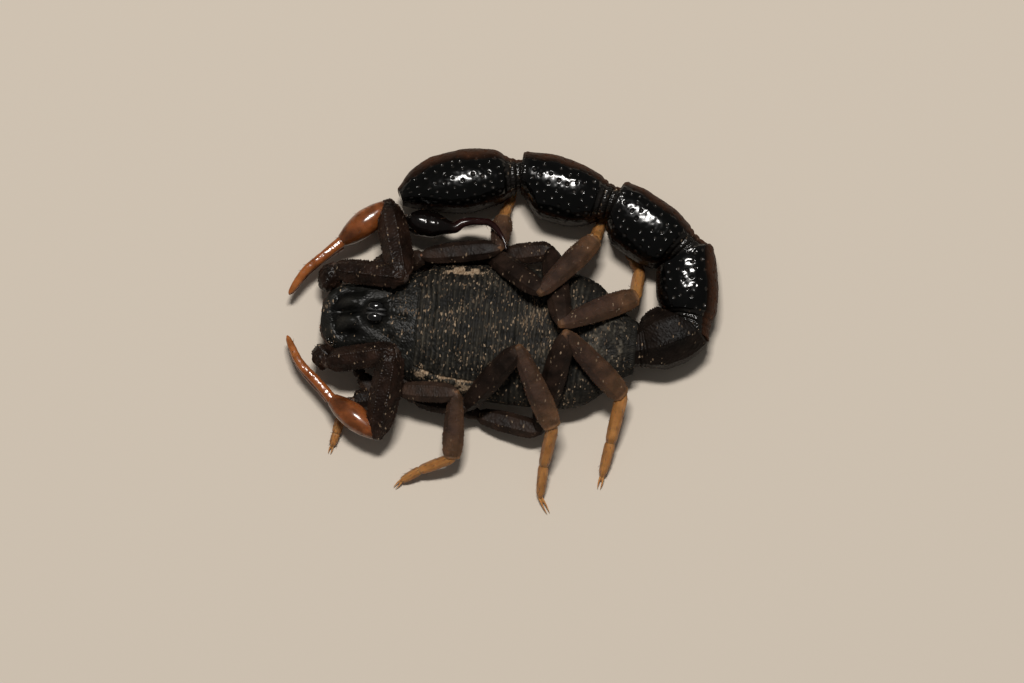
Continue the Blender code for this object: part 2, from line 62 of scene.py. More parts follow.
# x, half width of the back plates, height of the midline, height of the underside
TRUNK = (
    (-7.20, 0.52, 1.62, 0.90), (-7.05, 0.82, 1.70, 0.84), (-6.85, 1.08, 1.80, 0.75),
    (-6.50, 1.30, 1.96, 0.60), (-5.10, 1.68, 2.42, 0.44), (-3.35, 2.22, 2.50, 0.50),
    (-2.30, 2.60, 2.58, 0.50), (-1.10, 2.72, 2.64, 0.44),
    (1.00, 2.80, 2.66, 0.34), (2.80, 2.74, 2.58, 0.34), (3.60, 2.48, 2.50, 0.40),
    (4.30, 1.90, 2.38, 0.48), (4.90, 1.32, 2.28, 0.58), (5.45, 1.00, 2.18, 0.66),
)
CREST_SHIFT = 0.18          # the head shield leans to the animal's right
CREST_SHIFT_LENGTH = 1.2
EYE_X = -5.03
EYE_OFFSET_Y = 0.20
EYE_RADIUS = 0.22
EYE_LEAN = math.radians(36)
EYE_STRETCH = 1.45
BROW_STRETCH = 3.6
MOUND_HEIGHT = 0.25
MOUND_LENGTH = 0.46
MOUND_WIDTH = 0.34
# raised and sunk places of the head shield, alike on both sides: height, distance from the
# crest and its growth per millimetre to the rear, half width, middle along X, half length
HEAD_FEATURES = (
    (MOUND_HEIGHT, 0.0, 0.0, MOUND_WIDTH, EYE_X, MOUND_LENGTH),     # eye mound
    (-0.05, 0.0, 0.0, 0.05, EYE_X, 0.40),           # saddle between the eyes
    (0.20, 0.42, 0.0, 0.24, -6.10, 0.36),           # front lobes
    (-0.13, 0.50, 0.0, 0.20, -6.62, 0.15),          # dents before the lobes
    (-0.13, 0.87, 0.10, 0.15, -6.00, 0.42),         # hollows beside the lobes
    (0.10, 1.12, 0.0, 0.16, -5.80, 0.50),           # shoulders
    (-0.10, 0.0, 0.0, 0.10, -4.05, 0.42),           # furrow behind the eyes
    (-0.09, 0.9075, 0.45, 0.17, -4.45, 0.60),       # side furrows
    (0.04, 0.47, 0.20, 0.10, -4.25, 0.50),          # ridges between them
)
PLATE_STEP = 0.022          # from ring to ring along the back
ARCH_POINTS = 260           # round the upper side of a ring
UNDER_POINTS = 60           # round its underside
COMB_TEETH = 17
ARCH_START = 0.065          # the back plates are sculpted from this height over their edge
STRIA_PITCH = 0.22          # from one fine cross ridge of the back plates to the next
HEAD_STRIA_PITCH = 0.21

# ---- tail, as in the solids ----
TAIL_Z = 1.38
TAIL_JOINTS = (
    (5.44, -0.26, 0), (7.55, 0.72, 66), (7.22, 3.78, 124),
    (4.02, 5.50, 164), (0.12, 6.20, 184), (-4.60, 4.74, 205),
)
# per segment: share of its length, outer reach, inner reach, half height
TAIL_PROFILES = (
    ((0.00, 0.86, 0.86, 0.80), (0.16, 1.08, 1.02, 1.02), (0.42, 1.34, 1.28, 1.26),
     (0.72, 1.32, 1.36, 1.32), (0.92, 1.12, 1.26, 1.22), (1.00, 0.98, 1.12, 1.10)),
    ((0.00, 0.74, 0.80, 0.90), (0.11, 0.82, 0.92, 1.00), (0.20, 0.98, 1.20, 1.24),
     (0.48, 1.08, 1.46, 1.38), (0.80, 1.02, 1.44, 1.40), (0.95, 0.92, 1.16, 1.34),
     (1.00, 0.84, 0.96, 1.24)),
    ((0.00, 0.66, 0.74, 0.88), (0.10, 0.70, 0.86, 0.98), (0.20, 0.86, 1.30, 1.26),
     (0.45, 1.06, 1.58, 1.40), (0.75, 1.06, 1.56, 1.42), (0.94, 0.92, 1.20, 1.36),
     (1.00, 0.82, 0.86, 1.24)),
    ((0.00, 0.56, 0.58, 0.84), (0.10, 0.62, 0.80, 0.98), (0.22, 0.84, 1.20, 1.26),
     (0.45, 1.06, 1.50, 1.42), (0.68, 1.12, 1.50, 1.42), (0.92, 0.98, 0.84, 1.34),
     (1.00, 0.86, 0.62, 1.20)),
    ((0.00, 0.56, 0.60, 0.82), (0.07, 0.72, 0.70, 0.98), (0.20, 1.20, 0.94, 1.28),
     (0.45, 1.44, 1.08, 1.41), (0.68, 1.38, 0.84, 1.32), (0.86, 1.02, 0.52, 1.10),
     (0.97, 0.50, 0.34, 0.76), (1.00, 0.36, 0.28, 0.62)),
)
TAIL_ROOT_CORNERS = ((22, 1.0), (66, 0.96), (114, 0.96), (158, 1.0),
                     (202, 1.0), (246, 0.97), (294, 0.97), (338, 1.0))
COLLARS = (0.14, 0.17, 0.17, 0.18, 0.12)    # share of each segment that its collar takes
COLLAR_REACH = 0.07         # share of its length that a collar reaches into the segment before
TAIL_RINGS = 172
TAIL_ROOT_RINGS = 120
TAIL_POINTS = 290           # round a ring
PIT_PITCH = 0.40
PIT_RADIUS = 0.082
PIT_DEPTH = 0.048
BULB_ROOT = (-4.30, 3.85, 1.42)
BULB_END = (-2.34, 3.73, 1.62)
BULB_PROFILE = ((0.00, 0.20, 0.22), (0.08, 0.34, 0.38), (0.32, 0.52, 0.52),
                (0.60, 0.50, 0.51), (0.86, 0.30, 0.34))
STING_PATH = ((-2.34, 3.73, 1.62), (-1.98, 3.96, 1.64), (-1.51, 4.06, 1.72), (-1.07, 4.06, 1.86),
              (-0.75, 3.90, 2.04), (-0.48, 3.61, 2.18), (-0.26, 3.29, 2.27), (-0.13, 2.93, 2.31))
STING_RADII = (0.23, 0.18, 0.15, 0.14, 0.13, 0.10, 0.06, 0.02)

# ---- legs, as in the solids: hip, then the far ends of each stretch ----
LEGS = {
    "leg_1_left": ((-5.62, -2.20, 0.86), (-5.42, -2.48, 0.90), (-4.70, -3.26, 1.00),
                   (-5.56, -3.50, 0.84), (-6.06, -4.28, 0.46), (-6.16, -4.84, 0.32),
                   (-6.28, -5.34, 0.18), (-6.36, -5.66, 0.08)),
    "leg_2_left": ((-4.50, -2.46, 0.86), (-4.14, -2.80, 1.14), (-3.80, -3.08, 1.72),
                   (-1.53, -3.08, 2.36), (-1.43, -5.53, 1.30), (-2.66, -6.03, 0.62),
                   (-3.36, -6.46, 0.23), (-3.62, -6.78, 0.09)),
    "leg_3_left": ((-3.62, -2.72, 0.84), (-3.13, -3.26, 1.00), (-1.06, -3.46, 1.72),
                   (0.81, -1.26, 3.72), (2.46, -4.03, 2.30), (2.24, -5.37, 0.96),
                   (2.22, -6.56, 0.27), (2.62, -7.16, 0.10)),
    "leg_4_left": ((-1.96, -3.02, 0.60), (-0.60, -3.56, 0.62), (1.90, -4.02, 1.14),
                   (2.63, -0.51, 3.87), (5.07, -2.35, 1.76), (4.80, -4.14, 0.84),
                   (4.60, -5.44, 0.25), (4.52, -5.96, 0.09)),
    "leg_1_right": ((-5.62, 1.52, 0.86), (-5.42, 1.80, 0.86), (-4.62, 2.50, 0.84),
                    (-4.78, 3.30, 0.84), (-5.26, 3.96, 0.46), (-5.78, 3.80, 0.32),
                    (-6.16, 3.50, 0.18), (-6.42, 3.24, 0.08)),
    "leg_2_right": ((-4.50, 1.78, 0.86), (-4.10, 2.06, 1.10), (-3.46, 2.44, 1.72),
                    (-0.45, 2.97, 2.19), (-0.41, 4.44, 1.00), (-0.30, 5.02, 0.48),
                    (-0.12, 5.46, 0.20), (-0.06, 5.72, 0.09)),
    "leg_3_right": ((-3.62, 2.04, 0.84), (-3.10, 2.50, 0.90), (-0.84, 2.90, 1.36),
                    (1.45, 1.12, 3.72), (3.34, 3.79, 1.86), (3.46, 4.60, 0.46),
                    (3.62, 5.20, 0.20), (3.74, 5.50, 0.10)),
    "leg_4_right": ((-1.96, 2.34, 0.60), (-0.42, 2.96, 0.58), (1.62, 3.30, 1.12),
                    (2.42, -0.07, 3.78), (5.18, 1.66, 1.76), (5.24, 3.02, 0.40),
                    (4.86, 3.44, 0.21), (4.62, 3.64, 0.10)),
}
LEG_GIRTH = {"1": 0.80, "2": 0.90, "3": 1.00, "4": 1.05}
PATELLA_BOW = {"1": 0.0, "2": 0.05, "3": 0.16, "4": 0.18}
PATELLA_WEAR = {"1": 0.05, "2": 0.10, "3": 0.15, "4": 0.15}
PALEST_LEG = "leg_2_left"
PALEST_WEAR = 0.5
# share of the stretch, half width across, half thickness
TROCHANTER_PROFILE = ((0.00, 0.16, 0.16), (0.25, 0.26, 0.25), (0.75, 0.29, 0.27), (1.00, 0.20, 0.20))
FEMUR_PROFILE = ((0.00, 0.18, 0.18), (0.10, 0.30, 0.25), (0.45, 0.40, 0.26), (0.85, 0.38, 0.26),
                 (0.96, 0.30, 0.24), (1.02, 0.20, 0.18))
PATELLA_PROFILE = ((-0.02, 0.18, 0.18), (0.06, 0.30, 0.24), (0.22, 0.41, 0.26), (0.50, 0.46, 0.26),
                   (0.80, 0.43, 0.26), (0.94, 0.33, 0.25), (1.01, 0.20, 0.19))
TIBIA_PROFILE = ((-0.03, 0.17, 0.19), (0.05, 0.28, 0.24), (0.15, 0.33, 0.26), (0.40, 0.41, 0.27),
                 (0.68, 0.46, 0.28), (0.88, 0.42, 0.27), (0.97, 0.36, 0.26), (1.00, 0.33, 0.25))
BASITARSUS_PROFILE = ((-0.05, 0.18, 0.17), (0.10, 0.25, 0.22), (0.50, 0.25, 0.22),
                      (0.88, 0.23, 0.22), (1.00, 0.19, 0.18))
TELOTARSUS_PROFILE = ((-0.03, 0.15, 0.15), (0.12, 0.21, 0.19), (0.55, 0.20, 0.18),
                      (0.88, 0.16, 0.15), (1.00, 0.10, 0.10))
FACET_SOFTNESS = 0.22       # how far a section with corners is blended towards a circle
# corners of the sections round a limb: degrees, share of the half width or thickness
LEG_CORNERS = ((0, 1.0), (56, 0.99), (120, 0.95), (178, 1.0), (236, 0.94), (304, 0.94))
FOOT_CORNERS = ((0, 1.0), (70, 0.98), (125, 0.97), (180, 1.0), (270, 0.98))
ARM_CORNERS = ((8, 1.0), (58, 0.97), (104, 1.0), (172, 1.0), (222, 0.95), (318, 0.95))

# ---- pincer arms, as in the solids ----
# root, shoulder, elbow, wrist, palm, the fingers' bend and their tip
ARMS = {
    "left": ((-7.12, -1.74, 1.22), (-6.76, -2.22, 1.72), (-4.18, -1.76, 2.84),
             (-4.50, -4.96, 1.56), (-6.45, -3.65, 1.30), (-7.90, -2.30, 1.12),
             (-8.52, -1.24, 1.00)),
    "right": ((-7.20, 0.94, 1.22), (-6.86, 1.52, 1.72), (-4.14, 1.30, 2.84),
              (-5.02, 4.42, 1.56), (-6.73, 2.78, 1.30), (-8.04, 1.44, 1.12),
              (-8.62, 0.47, 1.00)),
}
SHOULDER_PROFILE = ((-0.10, 0.24, 0.28), (0.15, 0.42, 0.46), (0.50, 0.52, 0.54),
                    (0.85, 0.48, 0.50), (1.08, 0.30, 0.32))
UPPER_ARM_PROFILE = ((0.00, 0.26, 0.28), (0.08, 0.40, 0.40), (0.30, 0.47, 0.44), (0.65, 0.48, 0.44),
                     (0.90, 0.45, 0.42), (1.02, 0.30, 0.32))
FOREARM_PROFILE = ((-0.02, 0.26, 0.28), (0.10, 0.50, 0.44), (0.30, 0.59, 0.49), (0.55, 0.60, 0.50),
                   (0.80, 0.53, 0.47), (0.93, 0.38, 0.37), (1.01, 0.24, 0.26))
PALM_PROFILE = ((-0.02, 0.18, 0.20), (0.06, 0.28, 0.30), (0.22, 0.42, 0.43), (0.50, 0.53, 0.52),
                (0.78, 0.44, 0.43), (0.98, 0.28, 0.31))
FINGER_WIDTHS = ((0.00, 0.25, 0.21), (0.15, 0.21, 0.17), (0.60, 0.18, 0.15), (0.85, 0.15, 0.12),
                 (0.96, 0.10, 0.08), (1.00, 0.04, 0.03))
FINGER_SPREAD = 0.20
BRISTLE_LEAN = 1.2
BRISTLE_RADIUS = 0.011

# ---- sand that clings to the shell ----
SAND_DARK = (0.16, 0.098, 0.055)
SAND_PALE = (0.46, 0.345, 0.235)
CRUMB_PITCH = 0.075               # millimetres from crumb to crumb
CRUMB_STRETCH = (1.25, 0.55, 0.9)   # under 1, the crumbs are longer that way
CRUMB_WANDER = 0.045              # how far their outlines are pulled about
CRUMB_FAINTNESS = 1.6             # over 1, most crumbs are faint
CRUMB_DULLNESS = 0.5
CRUMB_HEIGHT = 1.5                # against the height of the shell's own fine grain

# ---- picture ----
CAMERA_AZIMUTH = math.radians(6)
CAMERA_ELEVATION = math.radians(80)
CAMERA_DISTANCE = 600
VIEW_WIDTH = 40.96      # millimetres of floor across the picture
VIEW_RIGHT = 0.40       # the picture's middle, along its own right and up directions
VIEW_UP = -0.38
VIEW_DEPTH = 1.5
FLOOR_REACH = 0.6       # metres
FLOOR_COLOUR = (0.60, 0.535, 0.455, 1)


# ================= numbers =================

def unit(vectors):
    return vectors / np.maximum(np.linalg.norm(vectors, axis=-1, keepdims=True), 1e-12)


def places(x, y, z):
    """Points from coordinates, each of them an array or one number for all."""
    return np.stack(np.broadcast_arrays(x, y, z), axis=-1)


def distances(path):
    """How far along a path each of its points lies."""
    return np.concatenate([[0], np.cumsum(np.linalg.norm(np.diff(path, axis=0), axis=1))])


def bell(offset, width):
    """1 at an offset of 0, falling away over the width on both sides."""
    return np.exp(-(offset / width) ** 2)


def step(low, high, value):
    """0 below low, 1 above high and a smooth climb between."""
    share = np.clip((value - low) / (high - low), 0, 1)
    return share * share * (3 - 2 * share)


def curve(rows, keys):
    """A table's columns at the keys, along smooth curves that never overshoot its rows."""
    rows = np.array(rows, float)
    x, y = rows[:, 0], rows[:, 1:]
    width = np.diff(x)[:, None]
    slope = np.diff(y, axis=0) / width
    tangent = np.concatenate([slope[:1], slope[:-1] * slope[1:], slope[-1:]])
    total = slope[:-1] + slope[1:]
    rising = tangent[1:-1] > 0
    tangent[1:-1] = np.where(rising, 2 * tangent[1:-1] / np.where(rising, total, 1), 0)
    keys = np.clip(keys, x[0], x[-1])
    index = np.clip(np.searchsorted(x, keys, side="right") - 1, 0, len(x) - 2)
    wide = width[index]
    t = (keys - x[index])[:, None] / wide
    found = (y[index] * (1 + 2 * t) * (1 - t) ** 2 + y[index + 1] * t * t * (3 - 2 * t)
             + wide * tangent[index] * t * (1 - t) ** 2
             - wide * tangent[index + 1] * t * t * (1 - t))
    return found.T


def scatter(*cells, seed=0):
    """A fixed share from 0 to 1 for each whole-numbered cell."""
    mixed = np.full(np.shape(cells[0]), seed * 7919 + 17, np.uint32)
    for cell in cells:
        mixed = (mixed ^ np.asarray(cell).astype(np.int64).astype(np.uint32)) * np.uint32(2654435761)
        mixed ^= mixed >> np.uint32(15)
    return mixed / 2 ** 32


def noise(points, size, seed=0):
    """A smooth random field from -1 to 1 with features of the given size."""
    scaled = points / size
    base = np.floor(scaled)
    part = scaled - base
    part = part * part * (3 - 2 * part)
    total = np.zeros(points.shape[:-1])
    for corner in itertools.product((0, 1), repeat=3):
        weight = np.prod(np.where(corner, part, 1 - part), axis=-1)
        total += weight * scatter(*np.moveaxis(base + corner, -1, 0), seed=seed)
    return total * 2 - 1


def dots(along, around, pitch, jitter, seed, wrap):
    """Distance to the nearest of a field of loosely set dots in closed rows of wrap dots,
    and that dot's own share."""
    best = np.full(along.shape, np.inf)
    own = np.zeros(along.shape)
    for row_shift in (-1, 0, 1):
        row = np.floor(along / pitch[0]) + row_shift
        offset = 0.5 * np.mod(row, 2)
        for column_shift in (-1, 0, 1):
            column = np.floor(around / pitch[1] - offset) + column_shift
            key = np.mod(column, wrap)
            at_row = (row + 0.5 + jitter[0] * (scatter(row, key, seed=seed) - 0.5)) * pitch[0]
            push = jitter[1] * (scatter(row, key, seed=seed + 1) - 0.5)
            at_column = (column + 0.5 + offset + push) * pitch[1]
            distance = np.hypot(along - at_row, around - at_column)
            nearer = distance < best
            own = np.where(nearer, scatter(row, key, seed=seed + 2), own)
            best = np.minimum(best, distance)
    return best, own


# ================= tubes =================

def rounded(angle, power):
    """(across, up) on a closed outline between an oval (power 2) and a box."""
    cosine, sine = np.cos(angle), np.sin(angle)
    return (np.sign(cosine) * np.abs(cosine) ** (2 / power),
            np.sign(sine) * np.abs(sine) ** (2 / power))


def faceted(angle, corners):
    """(across, up) on an outline between a circle and the one with flat sides between its
    corners, (degrees, reach) each."""
    turn = np.radians([degrees for degrees, _ in corners])
    reach = np.array([distance for _, distance in corners])
    before = np.searchsorted(turn, angle, side="right") - 1
    after = (before + 1) % len(corners)
    span = np.mod(turn[after] - turn[before], TURN)
    past = np.mod(angle - turn[before], TURN)
    flat = (reach[before] * reach[after] * np.sin(span)
            / (reach[before] * np.sin(past) + reach[after] * np.sin(span - past)))
    radius = flat * (1 - FACET_SOFTNESS) + FACET_SOFTNESS
    return radius * np.cos(angle), radius * np.sin(angle)


class Tube:
    """Rings of points along a path, with each point's place along and around it. A ring
    reaches width to both sides, rise up and drop down, or rise where drop is None. The
    section is a power for a rounded outline, or the corners of a faceted one; around is
    the number of points in a ring, or their angles."""

    def __init__(self, centre, across, lift, width, rise, drop, section, around):
        angle = np.linspace(0, TURN, around, endpoint=False) if np.ndim(around) == 0 else around
        shape = rounded if np.ndim(section) == 0 else faceted
        side, height = shape(angle, section)
        drop = rise if drop is None else drop
        reach = np.where(height > 0, rise[:, None], drop[:, None])
        across, lift = (np.broadcast_to(way, centre.shape)[:, None] for way in (across, lift))
        self.points = (centre[:, None] + across * (width[:, None] * side)[..., None]
                       + lift * (reach * height)[..., None])
        self.centre = centre
        self.angle = np.broadcast_to(angle, self.points.shape[:2])
        place = distances(centre)
        self.length = place[-1]
        self.along = np.broadcast_to(place[:, None], self.points.shape[:2])
        self.share = self.along / self.length
        ring = np.linalg.norm(np.roll(self.points, -1, axis=1) - self.points, axis=2)
        self.girth = ring.sum(axis=1).max()
        self.turn = (np.cumsum(ring, axis=1) - ring) / ring.sum(axis=1, keepdims=True)
        self.dust = np.zeros(self.points.shape[:2])
        self.tone = np.zeros(self.points.shape[:2])
        self.slots = None

    def normals(self):
        """Unit normals that point out of the tube, and whether faces must be turned for it."""
        down = np.gradient(self.points, axis=0)
        circle = np.roll(self.points, -1, axis=1) - np.roll(self.points, 1, axis=1)
        found = unit(np.cross(circle, down))
        turned = np.sum(found * (self.points - self.centre[:, None])) < 0
        return (-found if turned else found), turned

    def push(self, distance):
        """Move every point along its normal."""
        self.points = self.points + self.normals()[0] * distance[..., None]

    def near_angle(self, degrees, width):
        """1 on the line that runs along the tube at that angle, falling away beside it."""
        turn = np.mod(self.angle - math.radians(degrees) + math.pi, TURN) - math.pi
        return bell(turn, math.radians(width))

    def noise(self, size, seed):
        return noise(self.points, size, seed)

    def patch(self, start_bulge=0.12, end_bulge=0.12, material=0, steps=5):
        """The tube's points, closed at both ends by domes, with its fields and faces."""
        turned = self.normals()[1]
        points, middle = [self.points], []
        for end, beside, bulge in ((0, 1, start_bulge), (-1, -2, end_bulge)):
            ring = self.points[end]
            hub = ring.mean(axis=0)
            outward = unit(self.centre[end] - self.centre[beside])
            turns = np.linspace(0, math.pi / 2, steps + 1)[1:]
            dome = [hub + (ring - hub) * math.cos(turn) * 0.999 + outward * bulge * math.sin(turn)
                    for turn in turns[:-1]]
            middle.append(hub + outward * bulge)
            points.insert(0 if end == 0 else 2, np.array(dome[::-1] if end == 0 else dome))
        grid = np.concatenate(points)
        rows, columns = grid.shape[:2]
        index = np.arange(rows * columns).reshape(rows, columns)
        after = np.roll(index, -1, axis=1)
        quads = np.stack([index[:-1], after[:-1], after[1:], index[1:]], axis=-1).reshape(-1, 4)
        first = np.stack([np.full(columns, rows * columns), after[0], index[0]], axis=-1)
        last = np.stack([np.full(columns, rows * columns + 1), index[-1], after[-1]], axis=-1)
        tris = np.concatenate([first, last])
        if turned:
            quads, tris = quads[:, ::-1], tris[:, ::-1]
        fields = []
        for field in (self.dust, self.tone):
            padded = np.pad(field, ((steps - 1, steps - 1), (0, 0)), mode="edge")
            fields.append(np.concatenate([padded.ravel(), [field[0].mean(), field[-1].mean()]]))
        corners = np.concatenate([grid.reshape(-1, 3), middle])
        if self.slots is not None:
            padded = np.pad(self.slots, ((steps - 1, steps - 1), (0, 0)), mode="edge")
            material = padded[:-1].ravel()
        return corners, quads, tris, *fields, material


def along_path(path, count, width_rows, around=48, section=2.2, up=UP):
    """A tube along a smooth path of points; width_rows is (share, half width, half thickness)."""
    path = np.array(path, float)
    place = distances(path)
    share = np.linspace(0, 1, count)
    centre = curve(np.column_stack([place / place[-1], path]), share).T
    tangent = unit(np.gradient(centre, axis=0))
    across = unit(np.cross(tangent, up))
    width, thick = curve(width_rows, share)
    return Tube(centre, across, np.cross(across, tangent), width, thick, None, section, around)


def limb(start, end, profile, girth=1.0, bow=0.0, *, rings, around=60, section=2.3):
    """A straight or bowed stretch of limb; its width lies level, across it."""
    start, end = np.array(start, float), np.array(end, float)
    keys = np.linspace(profile[0][0], profile[-1][0], rings)
    along = unit(end - start)
    across = unit(np.cross(along, UP))
    lift = np.cross(across, along)
    centre = start + (end - start) * keys[:, None]
    centre = centre + lift * bow * np.sin(math.pi * np.clip(keys, 0, 1))[:, None]
    width, thick = curve(profile, keys) * girth
    return Tube(centre, across, lift, width, thick, None, section, around)


def ridge(tube, degrees, width, height, bead, seed):
    """A granular keel along a tube: how far it stands out."""
    wander = 9 * tube.noise(0.35, seed) + 4 * tube.noise(0.13, seed + 40)
    beads = 0.55 + 0.45 * np.cos(TURN * tube.along / bead + wander)
    ends = step(0.02, 0.12, tube.share) * step(0.02, 0.10, 1 - tube.share)
    return height * tube.near_angle(degrees, width) * beads * ends


def grains(tube, size, height, seed):
    """Fine round granules all over a tube: how far they stand out."""
    wrap = max(6, round(tube.girth / size))
    around = tube.turn * wrap * size
    distance, own = dots(tube.along, around, (size, size), (0.9, 0.9), seed, wrap)
    return height * (0.4 + 0.6 * own) * np.clip(1 - (distance / (0.55 * size)) ** 2, 0, 1)


def pits(tube, spacing, radius, seed):
    """Round dents in loose rows all over a tube, from 0 beside them to 1 at their middles."""
    wrap = max(6, round(tube.girth / spacing))
    around = tube.turn * wrap * spacing
    pitch = (spacing * 0.9, spacing)
    distance, own = dots(tube.along, around, pitch, (0.40, 0.45), seed, wrap)
    size = radius * (0.75 + 0.4 * own)
    return np.clip(1 - (distance / size) ** 2, 0, 1) ** 1.5 * (own > 0.06)


# ================= pieces =================

def piece(name, patches, materials, slot, node=None):
    """One mesh object from closed patches, riding on the animal in place of that node."""
    points, quads, tris, dust, tone, slots = zip(*patches)
    first = np.cumsum([0] + [len(part) for part in points[:-1]])
    numbers = ([np.full(len(part), number) for part, number in zip(quads, slots)]
               + [np.full(len(part), np.ravel(number)[0]) for part, number in zip(tris, slots)])
    quads, tris = (np.concatenate([part + start for part, start in zip(faces, first)])
                   for faces in (quads, tris))
    corners = np.concatenate(points)
    corners[:, 2] = np.maximum(corners[:, 2], 0)
    loops = np.concatenate([quads.ravel(), tris.ravel()])
    starts = np.concatenate([np.arange(len(quads)) * 4, quads.size + np.arange(len(tris)) * 3])
    mesh = bpy.data.meshes.new(name)
    mesh.vertices.add(len(corners))
    mesh.vertices.foreach_set("co", (corners * MM).astype(np.float32).ravel())
    mesh.loops.add(len(loops))
    mesh.loops.foreach_set("vertex_index", loops.astype(np.int32))
    mesh.polygons.add(len(starts))
    mesh.polygons.foreach_set("loop_start", starts.astype(np.int32))
    mesh.polygons.foreach_set("material_index", np.concatenate(numbers).astype(np.int32))
    mesh.update(calc_edges=True)
    mesh.shade_smooth()
    for field, values in (("dust", dust), ("tone", tone)):
        layer = mesh.attributes.new(field, "FLOAT", "POINT")
        layer.data.foreach_set("value", np.clip(np.concatenate(values), 0, 1).astype(np.float32))
    for material in materials:
        mesh.materials.append(material)
    made = add_object(name, mesh)
    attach(made, "root")
    if node:
        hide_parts(node)


def shell(node, patches, materials, slot):
    """The piece that is named for the node in whose place it rides."""
    piece(node + "_shell", patches, materials, slot, node)


def ball(centre, radius, axis=UP, squeeze=1.0, rings=15, around=26):
    """An ellipsoid, its height along the axis squeezed."""
    turn = np.linspace(-0.48, 0.48, rings) * math.pi
    axis = unit(np.array(axis, float))
    side = unit(np.cross(axis, (0.2, 1.0, 0.1)))
    path = np.array(centre, float) + axis * (radius * squeeze * np.sin(turn))[:, None]
    width = radius * np.cos(turn)
    return Tube(path, side, np.cross(side, axis), width, width, None, 2, around)


def stretched(tube, factor):
    """The ball drawn out along X about its middle."""
    middle = tube.centre[:, 0].mean()
    tube.points[..., 0] = middle + (tube.points[..., 0] - middle) * factor
    return tube


def dark(tube):
    """The tube in its finish's second colour."""
    tube.tone = np.ones(tube.share.shape)
    return tube


def spine(start, end, radius, bend=(0, 0, 0), rings=5, around=5):
    """A thin tapered bristle or claw that bends aside on its way."""
    share = np.linspace(0, 1, rings)[:, None]
    path = start * (1 - share) + end * share + np.array(bend) * share * (1 - share)
    rows = [(at, radius * size, radius * size) for at, size in ((0, 1), (0.6, 0.6), (1, 0.12))]
    return along_path(path, rings, rows, around, 2, np.array((0.13, 0.31, 0.94)))


def bristles(tube, count, length, seed, material=1):
    """Patches of sparse bristles that rise from a tube and lean towards its far end."""
    normals, _ = tube.normals()
    tangent = np.gradient(tube.points, axis=0)
    rows, columns = tube.points.shape[:2]
    serial = np.arange(count)
    row = (0.08 + 0.88 * (serial + 0.6 * scatter(serial, seed=seed)) / count) * (rows - 1)
    column = scatter(serial, seed=seed + 1) * columns
    reaches = length * (0.6 + 0.6 * scatter(serial, seed=seed + 2))
    made = []
    for i, j, reach in zip(row.astype(int), column.astype(int), reaches):
        root = tube.points[i, j]
        way = unit(normals[i, j] + unit(tangent[i, j]) * BRISTLE_LEAN)
        hair = spine(root - way * 0.02, root + way * reach, BRISTLE_RADIUS, normals[i, j] * 0.05)
        made.append(hair.patch(0.0, 0.0, material, 2))
    return made


# ================= finishes =================

def plug(tree, source, node, target):
    """Feed a node's input from a (node, output) pair, or set it to a plain value."""
    socket = node.inputs[target]
    if isinstance(source, tuple) and hasattr(source[0], "outputs"):
        tree.links.new(source[0].outputs[source[1]], socket)
    elif socket.type == "RGBA":
        socket.default_value = (*source, 1)
    else:
        socket.default_value = source


def add_node(tree, kind, *sources, **settings):
    """A node with its settings, its inputs by name and its first inputs in their order."""
    made = tree.nodes.new("ShaderNode" + kind)
    for key, value in settings.items():
        if hasattr(made, key):
            setattr(made, key, value)
        else:
            plug(tree, value, made, key)
    for target, source in enumerate(sources):
        plug(tree, source, made, target)
    return made


def maths(tree, operation, *sources):
    return add_node(tree, "Math", *sources, operation=operation), 0


def mix_colour(tree, share, first, second, blend="MIX"):
    made = add_node(tree, "Mix", data_type="RGBA", blend_type=blend)
    for target, source in ((0, share), (6, first), (7, second)):
        plug(tree, source, made, target)
    return made, 2


def spread(tree, source, low, high, to_low=0.0, to_high=1.0):
    """Map a value's range onto another, clamped."""
    return add_node(tree, "MapRange", source, low, high, to_low, to_high, clamp=True), 0


def speckle(tree, place, size, detail=2.0, rough=0.5):
    """Noise with features of that size in millimetres."""
    return add_node(tree, "TexNoise", Vector=place, Scale=1 / (size * MM), Detail=detail,
                    Roughness=rough), 0


